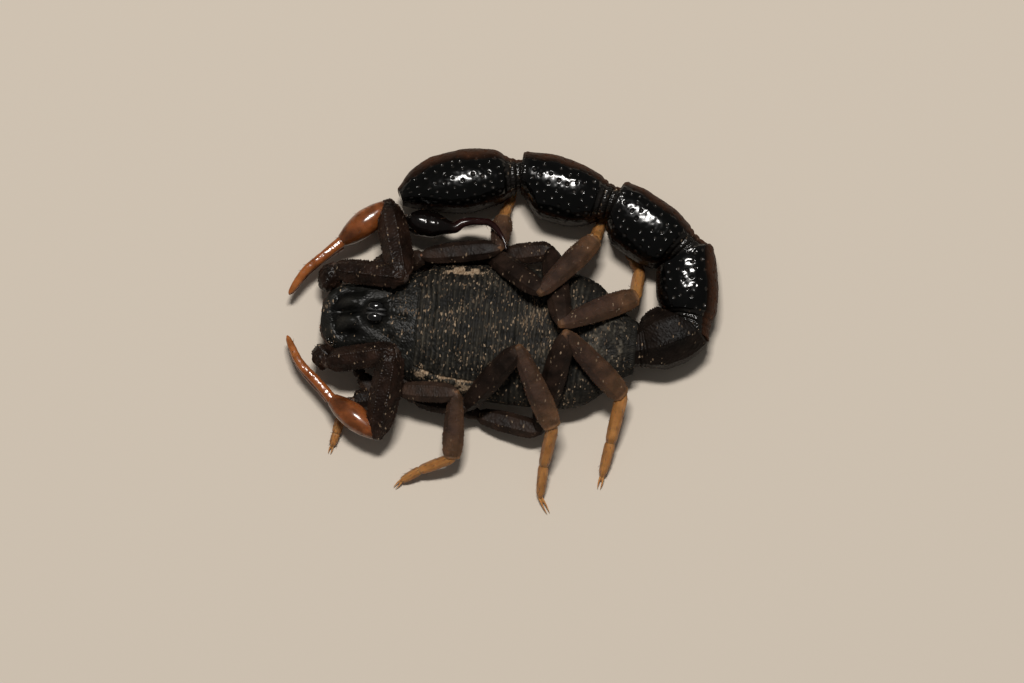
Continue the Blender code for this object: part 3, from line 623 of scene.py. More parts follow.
def shell_finish(name, base, second, rough, second_rough, mottle=0.35, grain=0.03, bump=0.25,
                 depth=0.006, coat=0.0, subsurface=0.0, blush=(1, 1, 1), level=0.5, third=None):
    """A finish whose colour and polish run from base to second with the field "tone", with
    darker and paler blotches and fine grain. With a third colour, second is reached halfway.
    Crumbs of sand lie where the field "dust" says."""
    material = bpy.data.materials.new(name)
    material.use_nodes = True
    tree = material.node_tree
    place = add_node(tree, "TexCoord"), "Object"
    tone = add_node(tree, "Attribute", attribute_name="tone"), "Fac"
    blotches = speckle(tree, place, 0.45)
    fine = speckle(tree, place, grain, 3.0, 0.6)
    if third:
        colour = mix_colour(tree, spread(tree, tone, 0.0, 0.5), base, second)
        colour = mix_colour(tree, spread(tree, tone, 0.5, 1.0), colour, third)
    else:
        colour = mix_colour(tree, tone, base, second)
    darker = (1 - mottle,) * 3
    paler = tuple(channel * (1 + mottle) for channel in blush)
    shade = mix_colour(tree, spread(tree, blotches, 0.35, 0.65), darker, paler)
    colour = mix_colour(tree, 1.0, colour, shade, "MULTIPLY")
    shade = mix_colour(tree, spread(tree, fine, 0.3, 0.7), darker, (1 + mottle,) * 3)
    colour = mix_colour(tree, 0.6, colour, shade, "MULTIPLY")
    crumbs, sand = sand_crumbs(tree, place)
    polish = spread(tree, tone, 0, 1, rough, second_rough)
    wear = spread(tree, blotches, 0.3, 0.7, 0.85, 1.2)
    worn_sheen = maths(tree, "MULTIPLY", polish, wear)
    raised = maths(tree, "MULTIPLY_ADD", crumbs, CRUMB_HEIGHT, fine)
    inputs = {
        "Base Color": mix_colour(tree, crumbs, colour, sand),
        "Roughness": maths(tree, "MULTIPLY_ADD", crumbs, CRUMB_DULLNESS, worn_sheen),
        "Normal": (add_node(tree, "Bump", Strength=bump, Distance=depth * MM, Height=raised), 0),
        "Specular IOR Level": level,
        "Coat Weight": coat,
        "Coat Roughness": 0.08,
    }
    if subsurface:
        inputs["Subsurface Weight"] = subsurface
        inputs["Subsurface Radius"] = (1.0, 0.45, 0.2)
        inputs["Subsurface Scale"] = 0.25 * MM
    for target, source in inputs.items():
        plug(tree, source, tree.nodes["Principled BSDF"], target)
    return material


def sand_crumbs(tree, place):
    """Where crumbs of sand cover a surface, and their colour. The field "dust" is the share
    of the crumbs that are there; they are longest across the trunk, and near 1 they merge."""
    dust = add_node(tree, "Attribute", attribute_name="dust"), "Fac"
    stretch = add_node(tree, "Mapping", Vector=place, Scale=CRUMB_STRETCH), 0
    ragged = add_node(tree, "TexNoise", Vector=stretch, Scale=1 / (0.09 * MM), Detail=1.0)
    reach = (CRUMB_WANDER * MM * 2,) * 3
    pulled = add_node(tree, "VectorMath", (ragged, "Color"), reach, stretch,
                      operation="MULTIPLY_ADD")
    cells = add_node(tree, "TexVoronoi", Vector=(pulled, 0), Scale=1 / (CRUMB_PITCH * MM))
    own = add_node(tree, "SeparateColor", (cells, "Color"))
    there = maths(tree, "GREATER_THAN", dust, (own, "Red"))
    strength = maths(tree, "POWER", (own, "Blue"), CRUMB_FAINTNESS)
    kept = maths(tree, "MULTIPLY", there, strength)
    dot = spread(tree, (cells, "Distance"), 0.40, 0.62, 1.0, 0.0)
    alone = maths(tree, "MULTIPLY", kept, dot)
    crowd = spread(tree, dust, 0.80, 1.0, 0.0, 0.85)
    merged = maths(tree, "MAXIMUM", alone, crowd)
    return merged, mix_colour(tree, (own, "Green"), SAND_DARK, SAND_PALE)


# Its second colour is the pale of the painted light on the ridge tops and of the painted sheen patch on
# the last plate.
def matte_shell():
    return shell_finish("shell_matte", (0.0052, 0.0051, 0.0045), (0.056, 0.049, 0.039),
                        0.58, 0.50, blush=(1.0, 1.0, 0.96), bump=0.7, level=0.11)


def head_shell():
    return shell_finish("shell_head", (0.0024, 0.0024, 0.0022), (0.0135, 0.0130, 0.0112),
                        0.30, 0.90, blush=(1.0, 1.0, 0.97), bump=0.35, level=0.20,
                        third=(0.085, 0.046, 0.025))


def tail_root_shell():
    return shell_finish("shell_tail_root", (0.0034, 0.0026, 0.0021), (0.015, 0.0090, 0.0062),
                        0.46, 0.56, bump=0.5, level=0.09)


# Its second, pale grey colour paints glints into the pits; its third is the brown painted reflection of
# warm sand on the tail's outer side.
def gloss_shell():
    return shell_finish("shell_gloss", (0.0012, 0.0013, 0.0012), (0.034, 0.029, 0.025),
                        0.13, 0.60, mottle=0.2, bump=0.10, depth=0.002, level=0.28,
                        third=(0.080, 0.027, 0.011))


# Its second colour is the brown painted reflection of warm sand on the tail's outer side.
def tail_side():
    return shell_finish("shell_tail_side", (0.0016, 0.0013, 0.0011), (0.056, 0.0215, 0.0100),
                        0.40, 0.55, mottle=0.30, bump=0.3, level=0.06)


def brown_limb():
    return shell_finish("limb_brown", (0.0080, 0.0050, 0.0037), (0.050, 0.031, 0.022), 0.50, 0.55,
                        mottle=0.28, grain=0.06, blush=(1.1, 1.0, 0.95), bump=0.8, level=0.11)


def brown_arm():
    return shell_finish("arm_brown", (0.0080, 0.0041, 0.0026), (0.034, 0.018, 0.012), 0.36, 0.44,
                        blush=(1.1, 1.0, 0.95), bump=0.6, level=0.17)


def grey_limb():
    return shell_finish("limb_grey", (0.037, 0.0220, 0.0162), (0.30, 0.155, 0.065), 0.48, 0.38,
                        mottle=0.22, grain=0.06, blush=(1.08, 1.0, 0.97), bump=0.8,
                        subsurface=0.15, level=0.15)


def tan_foot():
    return shell_finish("tarsus_tan", (0.42, 0.200, 0.064), (0.25, 0.100, 0.028), 0.36, 0.30,
                        mottle=0.2, subsurface=0.4, level=0.25)


def honey_hand():
    return shell_finish("pincer_honey", (0.190, 0.056, 0.0150), (0.050, 0.0150, 0.0055), 0.22, 0.18,
                        mottle=0.35, bump=0.1, coat=0.35, subsurface=0.35, level=0.35)


def red_finger():
    return shell_finish("finger_red", (0.205, 0.056, 0.0135), (0.310, 0.105, 0.026), 0.18, 0.20,
                        mottle=0.22, bump=0.1, coat=0.2, subsurface=0.35, level=0.35)


def sting_red():
    return shell_finish("sting_red", (0.0026, 0.0019, 0.0016), (0.0150, 0.0042, 0.0040), 0.17, 0.17,
                        mottle=0.2, bump=0.1, level=0.32)


def brown_belly():
    return shell_finish("underside_brown", (0.034, 0.024, 0.019), (0.075, 0.052, 0.038), 0.30, 0.35,
                        mottle=0.2, bump=0.2)


def black_eye():
    return shell_finish("eye_black", (0.0020, 0.0020, 0.0022), (0.0020, 0.0020, 0.0022), 0.17, 0.45,
                        mottle=0.1, bump=0.0, coat=0.5, level=0.6)


def tan_comb():
    return shell_finish("comb_tan", (0.36, 0.235, 0.125), (0.45, 0.31, 0.18), 0.42, 0.42,
                        mottle=0.15, subsurface=0.3)


def soft_skin():
    return shell_finish("membrane_tan", (0.125, 0.047, 0.018), (0.045, 0.028, 0.020), 0.42, 0.50,
                        mottle=0.3, bump=0.6, depth=0.01, subsurface=0.2)


def bristle_finish():
    return shell_finish("bristle_amber", (0.075, 0.038, 0.020), (0.2, 0.1, 0.05), 0.30, 0.30,
                        mottle=0.1, bump=0.0)


# ================= trunk =================

def trunk_tube(start, end, drop=MARGIN_DEPTH, section=2.15, under=UNDER_POINTS):
    """A stretch of the back; its rings rise above the side edge and drop below it, down to
    the belly where drop is None. Most of their points are on the arched upper side."""
    x = np.linspace(start, end, max(12, round((end - start) / PLATE_STEP)))
    half, high, belly = curve(TRUNK, x)
    below = MARGIN_Z - belly if drop is None else np.full(len(x), drop)
    angles = np.concatenate([np.linspace(0, math.pi, ARCH_POINTS, endpoint=False),
                             np.linspace(math.pi, TURN, under, endpoint=False)])
    return Tube(places(x, AXIS_Y, MARGIN_Z), RIGHT, UP, half, high - MARGIN_Z, below, section,
                angles)


def over_margin(tube):
    """How high each point lies over the trunk's side edge."""
    return tube.points[..., 2] - MARGIN_Z


def raise_top(tube, height):
    """Lift the upper side of a trunk tube straight up by a height field."""
    tube.points = tube.points + UP * (height * step(0, 0.35, over_margin(tube)))[..., None]


def crest_shift(x):
    """How far the middle of the head shield stands aside of the trunk's own middle."""
    return CREST_SHIFT * np.clip((CARAPACE_REAR_X - x) / CREST_SHIFT_LENGTH, 0, 1)


def head_relief(x, y):
    """Height of the head shield's features above its plain arch; y from its crest."""
    moat = -0.06 * bell(np.hypot((x - EYE_X) / 0.66, y / 0.62) - 1, 0.30)
    front_furrow = -0.24 * bell(y - 0.04 * np.sin(4 * x), 0.15) * bell(x + 6.25, 0.50)
    total = moat + front_furrow
    for height, aside, growth, width, at, length in HEAD_FEATURES:
        across = bell(np.abs(y) - aside - growth * (x - at), width)
        total = total + height * across * bell(x - at, length)
    return total


def striae(points, pitch, seed):
    """Fine broken ridges across the trunk, one every pitch: 0 beside them, up to 1.2 on them."""
    x, y, z = np.moveaxis(points, -1, 0)
    wander = 0.07 * noise(points, 0.8, seed) + 0.035 * noise(points, 0.28, seed + 1)
    wave = (0.5 + 0.5 * np.cos(TURN * (x + wander) / pitch)) ** 1.3
    broken = noise(np.stack([x * 0.5, y, z], axis=-1), 0.10, seed + 2)
    clumps = noise(points, 0.35, seed + 3)
    return wave * np.clip(0.55 + 0.55 * broken + 0.25 * clumps, 0, 1.2)


def lobes_sheen(x, y):
    """Where the front of the head shield is a little paler and duller."""
    lobes = bell(np.abs(y) - 0.42, 0.22) * bell(x + 6.15, 0.33)
    shoulders = bell(np.abs(y) - 1.1, 0.15) * bell(x + 5.8, 0.45)
    return lobes + 0.6 * shoulders


def border_distance(ahead, aside):
    """Distance to the head shield's border, its front corners rounded."""
    corner = 1.1
    past = np.hypot(np.maximum(corner - ahead, 0), np.maximum(corner - aside, 0))
    return np.where(past > 0, corner - past, np.minimum(ahead, aside))


def head_border():
    """The raised rough rim along the head shield's front and sides."""
    x = np.linspace(-6.2, TRUNK_FRONT_X, 16)
    half = curve(TRUNK, x)[0] + 0.01
    left, right = (places(x, AXIS_Y + side * half, MARGIN_Z + 0.02) for side, _ in SIDES)
    rows = ((0, 0.02, 0.02), (0.15, 0.055, 0.065), (0.85, 0.055, 0.065), (1, 0.02, 0.02))
    edge = along_path(np.concatenate([left, right[::-1]]), 300, rows, 20)
    edge.push(0.020 * edge.noise(0.09, 21))
    edge.tone = 0.4 + 0.4 * edge.noise(0.3, 22)
    edge.dust = 0.42 * step(-0.4, 0.4, edge.noise(0.25, 23))
    return edge.patch(material=1)


def build_carapace(finish, rim_finish):
    tube = trunk_tube(TRUNK_FRONT_X, CARAPACE_REAR_X - 0.01, section=2.0)
    squeeze = 1 - 0.10 * np.clip(1 - tube.share / 0.04, 0, 1)
    middle = tube.centre[:, None]
    tube.points = middle + (tube.points - middle) * squeeze[..., None]
    x, y = tube.points[..., 0], tube.points[..., 1] - AXIS_Y
    half, high, _ = curve(TRUNK, tube.centre[:, 0])[..., None]
    inside = border_distance(x - TRUNK_FRONT_X, half - np.abs(y)) + 0.07 * tube.noise(0.5, 6)
    tube.points[..., 1] += crest_shift(x) * np.clip(over_margin(tube) / (high - MARGIN_Z), 0, 1)
    raise_top(tube, head_relief(x, y) + 0.035 * tube.noise(0.55, 2) * step(-5.4, -5.8, x))
    front = step(-4.7, -5.6, x)
    rear = step(-5.2, -4.2, x)
    plain = 1 - bell(x - EYE_X, 0.42) * bell(y, 0.46)
    rows = striae(tube.points, HEAD_STRIA_PITCH, 17) * rear
    relief = grains(tube, 0.10, 0.026, 11) * (1 - 0.8 * front)
    relief = relief + grains(tube, 0.15, 0.014, 14) * front + 0.022 * rows
    relief = relief * (0.05 + 0.95 * plain) + 0.018 * tube.noise(0.24, 3) * plain
    rim = step(0.34, 0.16, inside) * step(-5.9, -6.3, x)
    relief += 0.022 * rim * (0.7 + 0.8 * tube.noise(0.16, 4)) - 0.02 * bell(inside - 0.40, 0.10) * front
    tube.push(relief + 0.030 * bell(1 - tube.share, 0.012))
    specks = step(-0.2, 0.6, tube.noise(0.5, 9))
    rubbed = bell(x + 3.9, 0.25) * step(0.2, 0.6, tube.noise(0.45, 7))
    tube.dust = ((0.10 + 0.26 * specks) * (0.15 + 0.85 * rear) * plain + 0.5 * rim * specks
                 + 0.4 * rubbed)
    # Tone: paler to the rear; the lobes and shoulders painted paler, a painted sheen; the fine ridges
    # painted paler than their furrows, painted light and shade.
    paler = (0.06 + 0.44 * step(-5.7, -5.1, x) + 0.75 * lobes_sheen(x, y) + 0.45 * rows
             + 0.15 * tube.noise(0.35, 5))
    tube.tone = 0.5 * np.clip(paler * plain, 0, 1) + 0.40 * rim * (0.5 + 0.7 * specks)
    shell("carapace", [tube.patch(0.05, 0.02), head_border()], [finish, rim_finish], "shell_matte")


def build_eyes(finish):
    """The two middle eyes under their rough brows, and three small eyes at each front corner."""
    top = curve(TRUNK, np.array([EYE_X]))[1][0]
    middle = AXIS_Y + CREST_SHIFT
    beads = []
    for side, label in SIDES:
        axis = np.array((-0.10, side * math.sin(EYE_LEAN), math.cos(EYE_LEAN)))
        centre = (EYE_X - 0.04, middle + side * (EYE_OFFSET_Y + 0.05), top + 0.15)
        lens = stretched(ball(centre, EYE_RADIUS, axis, 0.80, 31, 44), EYE_STRETCH)
        place = (EYE_X, middle + side * 0.10, top + MOUND_HEIGHT - 0.075)
        brow = dark(stretched(ball(place, 0.115, UP, 0.95, 25, 32), BROW_STRETCH))
        node = f"median_eye_{label}"
        patches = [lens.patch(0.0, 0.0), brow.patch(0.0, 0.0)]
        piece(node + "_lens", patches, [finish], "eye_black", node)
        for number, radius in enumerate((0.060, 0.060, 0.045)):
            x = -6.86 + 0.16 * number
            half, high, _ = curve(TRUNK, np.array([x]))
            place = (x, AXIS_Y + side * half[0] * 0.89, MARGIN_Z + (high[0] - MARGIN_Z) * 0.36)
            beads.append(ball(place, radius, (-0.3, side, 0.5), 0.9, 9, 14).patch(0.0, 0.0))
    piece("lateral_eyes", beads, [finish], "eye_black")


def build_back_plates(finish):
    front = CARAPACE_REAR_X
    for number, rear in enumerate(PLATE_REAR_X, 1):
        last = number == len(PLATE_REAR_X)
        if last:
            tube = trunk_tube(front - 0.02, rear - 0.01, None, under=150)
        else:
            tube = trunk_tube(front - 0.02, rear - 0.01)
        x, y = tube.points[..., 0], tube.points[..., 1] - AXIS_Y
        half = curve(TRUNK, tube.centre[:, 0])[0][:, None]
        aside = np.abs(y) / half
        upper = over_margin(tube) > ARCH_START
        left_side = (y < 0) * step(0.4, -0.8, x)
        rows = striae(tube.points, STRIA_PITCH, 30) * (1 - 0.5 * bell(aside - 0.95, 0.10))
        rows = rows * (0.30 if last else 1)
        tuck = -0.035 * (1 - step(0.0, 0.16, tube.along))
        edge = 0.012 * bell(tube.along - tube.length + 0.05, 0.05)
        crease = (0.040 * bell(aside - 0.85, 0.03) - 0.055 * bell(aside - 0.80, 0.018)) * left_side
        middle = 0.020 * bell(y, 0.10) * step(0.1, 0.5, tube.share)
        relief = 0.055 * rows + tuck + edge + crease + middle + 0.014 * tube.noise(0.30, 33)
        relief += grains(tube, 0.10, 0.030 if last else 0.016, 35)
        if last:
            calm = bell(np.hypot(x - 4.25, 0.75 * (y - 0.05)) - 0.55, 0.26)
            keels = sum(bell(np.abs(y) - keel * half, 0.05) for keel in (0.30, 0.78))
            relief += 0.03 * keels * step(0.35, 0.7, tube.share) + 0.035 * tube.noise(0.42, 36) * calm
        tube.push(relief * upper)
        cloud = step(-0.45, 0.45, tube.noise(0.50, 41))
        # Tone: the fine cross ridges are painted paler and their furrows darker, painted light and
        # shade, in patches.
        tube.tone = 0.04 + 0.85 * rows * (0.5 + 0.5 * cloud) + 0.12 * tube.noise(0.5, 45)
        tube.dust = plate_dust(tube, x, y, aside, left_side, cloud) * upper
        if last:
            # A patch on the last plate is painted paler, a painted sheen, with crumbs of sand on it.
            patchy = 0.6 * tube.noise(0.35, 47) + 1.2 * tube.noise(0.10, 48)
            worn_sheen = calm * step(-0.3, 0.7, patchy) * step(-1.4, -0.2, y) * step(5.1, 4.8, x)
            tube.dust = 0.6 * tube.dust + 0.34 * worn_sheen
            tube.tone += 0.06 + 1.3 * worn_sheen
        shell(f"tergite_{number}", [tube.patch(0.02, 0.02)], [finish], "shell_matte")
        front = rear


def plate_dust(tube, x, y, aside, left_side, cloud):
    """The sand on a back plate: flecks in its furrows, a heap along the right side of the
    front plates, and a strip and a thin line along the left side."""
    crowded = (bell(x - 1.35, 1.05) * bell(y - 0.3, 1.6)
               + 0.55 * bell(x + 1.9, 0.9) * bell(y - 0.2, 1.5))
    furrow = np.clip(1 - 1.15 * striae(tube.points, STRIA_PITCH, 30), 0, 1)
    flecks = (0.34 + 0.60 * crowded) * (0.35 + 0.65 * cloud) * (0.20 + 0.80 * furrow)
    ragged = tube.noise(0.20, 44) + 0.5 * tube.noise(0.6, 46)
    heap = (y > 0) * bell(x + 1.70, 1.05) * bell(aside - 0.86, 0.090) * step(-0.70, 0.20, ragged)
    strip = left_side * bell(aside - 0.88, 0.07) * step(-0.25, 0.35, ragged)
    line = left_side * 0.9 * bell(aside - 0.80, 0.020) * step(-0.5, 0.2, ragged)
    return np.clip(flecks + 1.25 * heap + strip + line, 0, 1)


def build_belly(finish):
    front = STERNITE_ENDS_X[0]
    top = MARGIN_Z - MARGIN_DEPTH - 0.04
    for number, rear in enumerate(STERNITE_ENDS_X[1:], 3):
        x = np.linspace(front + 0.01, rear - 0.03, max(20, round((rear - front) / 0.035)))
        half, _, belly = curve(TRUNK, x)
        centre = places(x, AXIS_Y, (top + belly) / 2)
        tube = Tube(centre, RIGHT, UP, half * BELLY_SHARE, (top - belly) / 2, None, 3.0, 150)
        y = tube.points[..., 1] - AXIS_Y
        under = tube.points[..., 2] < centre[:, None, 2]
        slit = bell(np.abs(y) - 0.58 * half[:, None], 0.16) * bell(tube.share - 0.55, 0.06) * under
        relief = 0.02 * bell(1 - tube.share, 0.03) - 0.05 * (1 - step(0, 0.15, tube.share))
        tube.push(relief - 0.05 * slit + 0.010 * tube.noise(0.4, 51))
        tube.tone = 0.4 * bell(y, 0.9) + 0.3 * tube.noise(0.6, 52)
        shell(f"sternite_{number}", [tube.patch(0.02, 0.02)], [finish], "underside_brown")
        front = rear


def build_side_skins(skin):
    """The soft folded flank between the back plates and the belly plates, on each side."""
    x = np.linspace(-6.4, 3.4, 150)
    half = curve(TRUNK, x)[0]
    rows = ((0, 0.06, 0.10), (0.06, 0.13, 0.22), (0.94, 0.13, 0.22), (1, 0.06, 0.10))
    for side, label in SIDES:
        fold = along_path(places(x, AXIS_Y + side * (half * 0.90 - 0.10), 1.02), 220, rows, 26)
        fold.push(0.02 * np.sin(fold.along / 0.11 * math.pi) + 0.02 * fold.noise(0.15, 55))
        fold.tone = 0.5 + 0.5 * fold.noise(0.3, 56)
        piece(f"side_skin_{label}", [fold.patch()], [skin], "membrane_tan")


def build_leg_bases(finish):
    """The leg bases under the head shield, the breastplate and the genital cover."""
    patches = []
    sizes = ((-0.05, 0.5, 0.16), (0.15, 0.9, 0.30), (0.6, 1.0, 0.36), (0.9, 0.75, 0.30),
             (1.04, 0.5, 0.20))
    for name, joints in LEGS.items():
        side = -1 if "left" in name else 1
        number = int(name.split("_")[1])
        inner = (-5.95 + 0.62 * number, AXIS_Y + side * (0.10 + 0.05 * number), 0.66)
        girth = (0.34, 0.38, 0.44, 0.50)[number - 1]
        profile = [(share, wide * girth, thick) for share, wide, thick in sizes]
        base = limb(inner, joints[0], profile, rings=46, around=32)
        base.push(ridge(base, 255, 10, 0.02, 0.16, 0) + grains(base, 0.12, 0.008, 60 + number))
        base.tone = 0.5 * step(0.6, 1.0, base.share)
        patches.append(base.patch(0.08, 0.08))
    rows = ((0, 0.9, 0.30), (0.3, 1.40, 0.36), (0.7, 1.95, 0.36), (1, 2.15, 0.30))
    path = ((-6.6, AXIS_Y, 0.92), (-4.5, AXIS_Y, 0.86), (-2.22, AXIS_Y, 0.82))
    patches.append(along_path(path, 90, rows, 90, 3).patch())
    rows = ((0, 0.10, 0.10), (0.25, 0.26, 0.14), (0.8, 0.30, 0.14), (1, 0.20, 0.10))
    path = ((-4.55, AXIS_Y, 0.56), (-3.9, AXIS_Y, 0.50), (-3.35, AXIS_Y, 0.48))
    patches.append(along_path(path, 30, rows).patch())
    rows = ((0, 0.14, 0.06), (0.5, 0.22, 0.10), (1, 0.14, 0.06))
    for side, _ in SIDES:
        y = AXIS_Y + side * 0.23
        path = ((-3.30, y, 0.48), (-3.05, y, 0.45), (-2.82, y, 0.46))
        patches.append(along_path(path, 24, rows).patch())
    shell("coxosternum", patches, [finish], "underside_brown")


def build_pectines(finish):
    """The two combs: a jointed back with a row of flat teeth on its rear side."""
    tooth_rows = ((0, 0.030, 0.028), (0.6, 0.036, 0.030), (1, 0.018, 0.018))
    for side, label in SIDES:
        root = np.array((-2.62, AXIS_Y + side * 0.40, 0.34))
        tip = np.array((-1.16, AXIS_Y + side * 1.46, 0.27))
        path = [root, (root + tip) / 2 + np.array((0.072, side * -0.04, 0.0)), tip]
        back = along_path(path, 60, ((0, 0.09, 0.07), (0.3, 0.12, 0.08), (1, 0.05, 0.05)), 24)
        back.push(-0.012 * bell(np.mod(back.share * 3, 1) - 0.5, 0.06))
        patches = [back.patch()]
        rear = unit(np.array((1.0, -0.72 * side, 0.0)))
        for share in 0.06 + 0.92 * np.linspace(0, 1, COMB_TEETH):
            foot = root * (1 - share) + tip * share
            tooth = limb(foot - UP * 0.01, foot + rear * (0.26 - 0.10 * share) - UP * 0.03,
                         tooth_rows, rings=10, around=10)
            patches.append(tooth.patch(0.01, 0.015, steps=3))
        node = f"pectine_{label}"
        piece(node + "_comb", patches, [finish], "comb_tan", node)


def build_mouthparts(finish, tip_finish):
    hand_rows = ((0, 0.22, 0.20), (0.4, 0.31, 0.27), (0.85, 0.29, 0.25), (1.05, 0.18, 0.16))
    finger_rows = ((0, 0.10, 0.08), (0.6, 0.07, 0.055), (1, 0.02, 0.02))
    for side, label in SIDES:
        y = AXIS_Y + side * 0.36
        palm = np.array((-7.00, y - side * 0.02, 0.80))
        hand = limb((-6.50, y, 0.86), palm, hand_rows, rings=40, around=36)
        hand.push(grains(hand, 0.09, 0.008, 71))
        hand.tone = step(0.5, 1.0, hand.share)
        patches = [hand.patch()]
        for rise, inward in ((0.09, 0.02), (-0.09, -0.04)):
            start = palm + np.array((0.05, -side * inward, rise))
            tip = np.array((-7.27, y - side * (0.05 + inward), 0.74 + rise * 0.2))
            middle = (start + tip) / 2 + np.array((-0.03, side * 0.05, rise * 0.4))
            finger = along_path((start, middle, tip), 20, finger_rows, 16)
            patches.append(finger.patch(0.02, 0.01, material=1))
        node = f"chelicera_{label}"
        piece(node + "_pincer", patches, [finish, tip_finish], "limb_brown", node)


# ================= tail =================

def tail_tube(number):
    """One tail segment; its collar reaches back into the segment before it, and its rings
    turn from joint to joint at the ends."""
    start_x, start_y, start_heading = TAIL_JOINTS[number]
    end_x, end_y, end_heading = TAIL_JOINTS[number + 1]
    share = np.linspace(-COLLAR_REACH, 1, TAIL_RINGS if number else TAIL_ROOT_RINGS)
    outer, inner, half = curve(TAIL_PROFILES[number], share)
    own = math.degrees(math.atan2(end_y - start_y, end_x - start_x)) % 360
    turn_in = np.clip(1 - share / 0.25, 0, 1) * 0.8
    turn_out = np.clip((share - 0.80) / 0.20, 0, 1) * 0.6
    heading = np.radians(own + (start_heading - own) * turn_in + (end_heading - own) * turn_out)
    inward = places(-np.sin(heading), np.cos(heading), 0.0)
    centre = places(start_x + (end_x - start_x) * share, start_y + (end_y - start_y) * share, TAIL_Z)
    section = 2.3 if number else TAIL_ROOT_CORNERS
    tube = Tube(centre, UP, inward, half, inner, outer, section, TAIL_POINTS)
    tube.share = np.broadcast_to(share[:, None], tube.share.shape)
    return tube


def trim_end(tube, number):
    """Keep a segment's far rings clear of the plane between it and the next one."""
    x, y, heading = TAIL_JOINTS[number + 1]
    onwards = np.array((math.cos(math.radians(heading)), math.sin(math.radians(heading)), 0))
    beyond = (tube.points - np.array((x, y, 0))) @ onwards + 0.015
    tube.points = tube.points - onwards * np.maximum(beyond, 0)[..., None]


def keels_at(tube, angles, width, height, bead, seed):
    """Granular keels along a tube at those angles: how far they stand out."""
    return sum(ridge(tube, degrees, width, height, bead, seed + serial)
               for serial, degrees in enumerate(angles))


def shape_tail_root(tube, body, outer):
    """The first segment: dull and granular, with four keels. How far its skin stands out."""
    tube.dust = 0.04 + 0.06 * (1 - body)
    # The outer side is painted browner, a painted reflection of warm sand.
    tube.tone = 0.20 + 0.3 * tube.noise(0.6, 84) + 0.3 * outer
    return (grains(tube, 0.10, 0.018, 85) + 0.012 * tube.noise(0.45, 86)
            + keels_at(tube, (22, 338), 4, 0.050, 0.13, 87))


def shape_tail_segment(tube, number, body, rim, keels, outer):
    """The other segments: polished and pitted, with a brown outer side that is a painted
    reflection of warm sand, and painted glints in the pits. How far their skin stands out."""
    flank = step(0.80, 0.96, np.sin(tube.angle))
    dents = pits(tube, PIT_PITCH, PIT_RADIUS, 100 + number) * body * (1 - rim)
    # Brown painted on the outer side as a reflection of warm sand, weaker towards the floor.
    faded = 1 - 0.45 * step(0.0, 0.8, -np.cos(tube.angle))
    brown = outer * (faded + 0.25 * tube.noise(0.7, 94))
    # Pale tone painted into the pits below stands for glints of light: painted glints.
    glint = 0.5 + 0.5 * tube.noise(0.45, 99)
    tube.dust = 0.04 * (1 - body)
    tube.tone = (0.10 * (1 - body) + 0.05 * rim + 0.70 * brown + 0.10 * flank
                 + 2 * np.maximum(keels, 0) + 0.62 * dents * glint)
    tube.slots = (np.maximum(outer, flank) > 0.1).astype(int)
    return (grains(tube, 0.13, 0.022, 90 + number) * np.maximum(1 - body, rim)
            - PIT_DEPTH * dents * (1 - 0.6 * tube.near_angle(90, 26))
            + 0.010 * tube.noise(0.34, 95) + 0.0075 * tube.noise(0.13, 96)
            + (0.010 * tube.noise(0.30, 98) + grains(tube, 0.14, 0.010, 97)) * (outer + flank))


def build_tail(root_finish, gloss, side_finish):
    for number, collar in enumerate(COLLARS):
        tube = tail_tube(number)
        final = number == len(COLLARS) - 1
        body = step(collar * 0.85, collar * 1.20, tube.share)
        rim = step(0.93, 0.99, tube.share) if final else step(0.91, 0.965, tube.share)
        grooves = bell(tube.share - collar * 0.30, 0.012) + bell(tube.share - collar * 0.68, 0.014)
        lip = 0.030 * bell(tube.share - 0.972, 0.014) * (not final)
        waist = 0.04 * bell(tube.share - collar * 0.98, 0.018)
        keels = keels_at(tube, (64, 116), 4.0, 0.060, 0.12, 80)
        channel = 0.05 * tube.near_angle(90, 26) * body
        # The tail's outer side, where a brown reflection of warm sand is painted.
        outer = step(0.46, 0.90, -np.sin(tube.angle) + 0.08 * tube.noise(0.5, 83))
        relief = lip - 0.050 * grooves - waist + keels - channel
        if number:
            relief = relief + shape_tail_segment(tube, number, body, rim, keels, outer)
            finishes, slot = [gloss, side_finish], "shell_gloss"
        else:
            relief = relief + shape_tail_root(tube, body, outer)
            finishes, slot = [root_finish], "shell_matte"
        tube.push(relief)
        trim_end(tube, number)
        shell(f"metasoma_{number + 1}", [tube.patch(0.0, 0.0)], finishes, slot)


def build_telson(finish, hair):
    middle = tuple((a + b) / 2 for a, b in zip(BULB_ROOT, BULB_END))
    path = (BULB_ROOT, middle, *STING_PATH)
    place = distances(path)
    place = place / place[-1]
    bulb = place[2]
    rows = [(share * bulb, wide, high) for share, wide, high in BULB_PROFILE]
    rows += [(at, radius, radius) for at, radius in zip(place[2:], STING_RADII)]
    tube = along_path(path, 230, rows, 96, 2)
    on_bulb = 1 - step(bulb * 0.85, bulb * 1.05, tube.share)
    dents = pits(tube, 0.28, 0.06, 120) * on_bulb
    relief = (0.006 + 0.010 * on_bulb) * tube.noise(0.25, 121) - 0.016 * dents
    relief -= 0.03 * bell(tube.share - 0.030, 0.010)
    tube.push(relief * step(0.0, 0.1, 1 - tube.share))
    tube.tone = 0.25 * dents + 0.03 + 0.85 * step(bulb * 0.85, bulb * 1.20, tube.share)
    patches = [tube.patch(0.05, 0.0)] + bristles(tube, 26, 0.22, 125)
    shell("telson", patches, [finish, hair], "shell_gloss")


# ================= limbs =================

def keeled(tube, angles, width, height, size, seed):
    """A limb's granular keels and the fine granules between them."""
    return (grains(tube, size, 0.013, seed) + 0.010 * tube.noise(0.25, seed + 1)
            + 0.007 * tube.noise(0.10, seed + 30)
            + keels_at(tube, angles, width, height, 0.11, seed + 2))


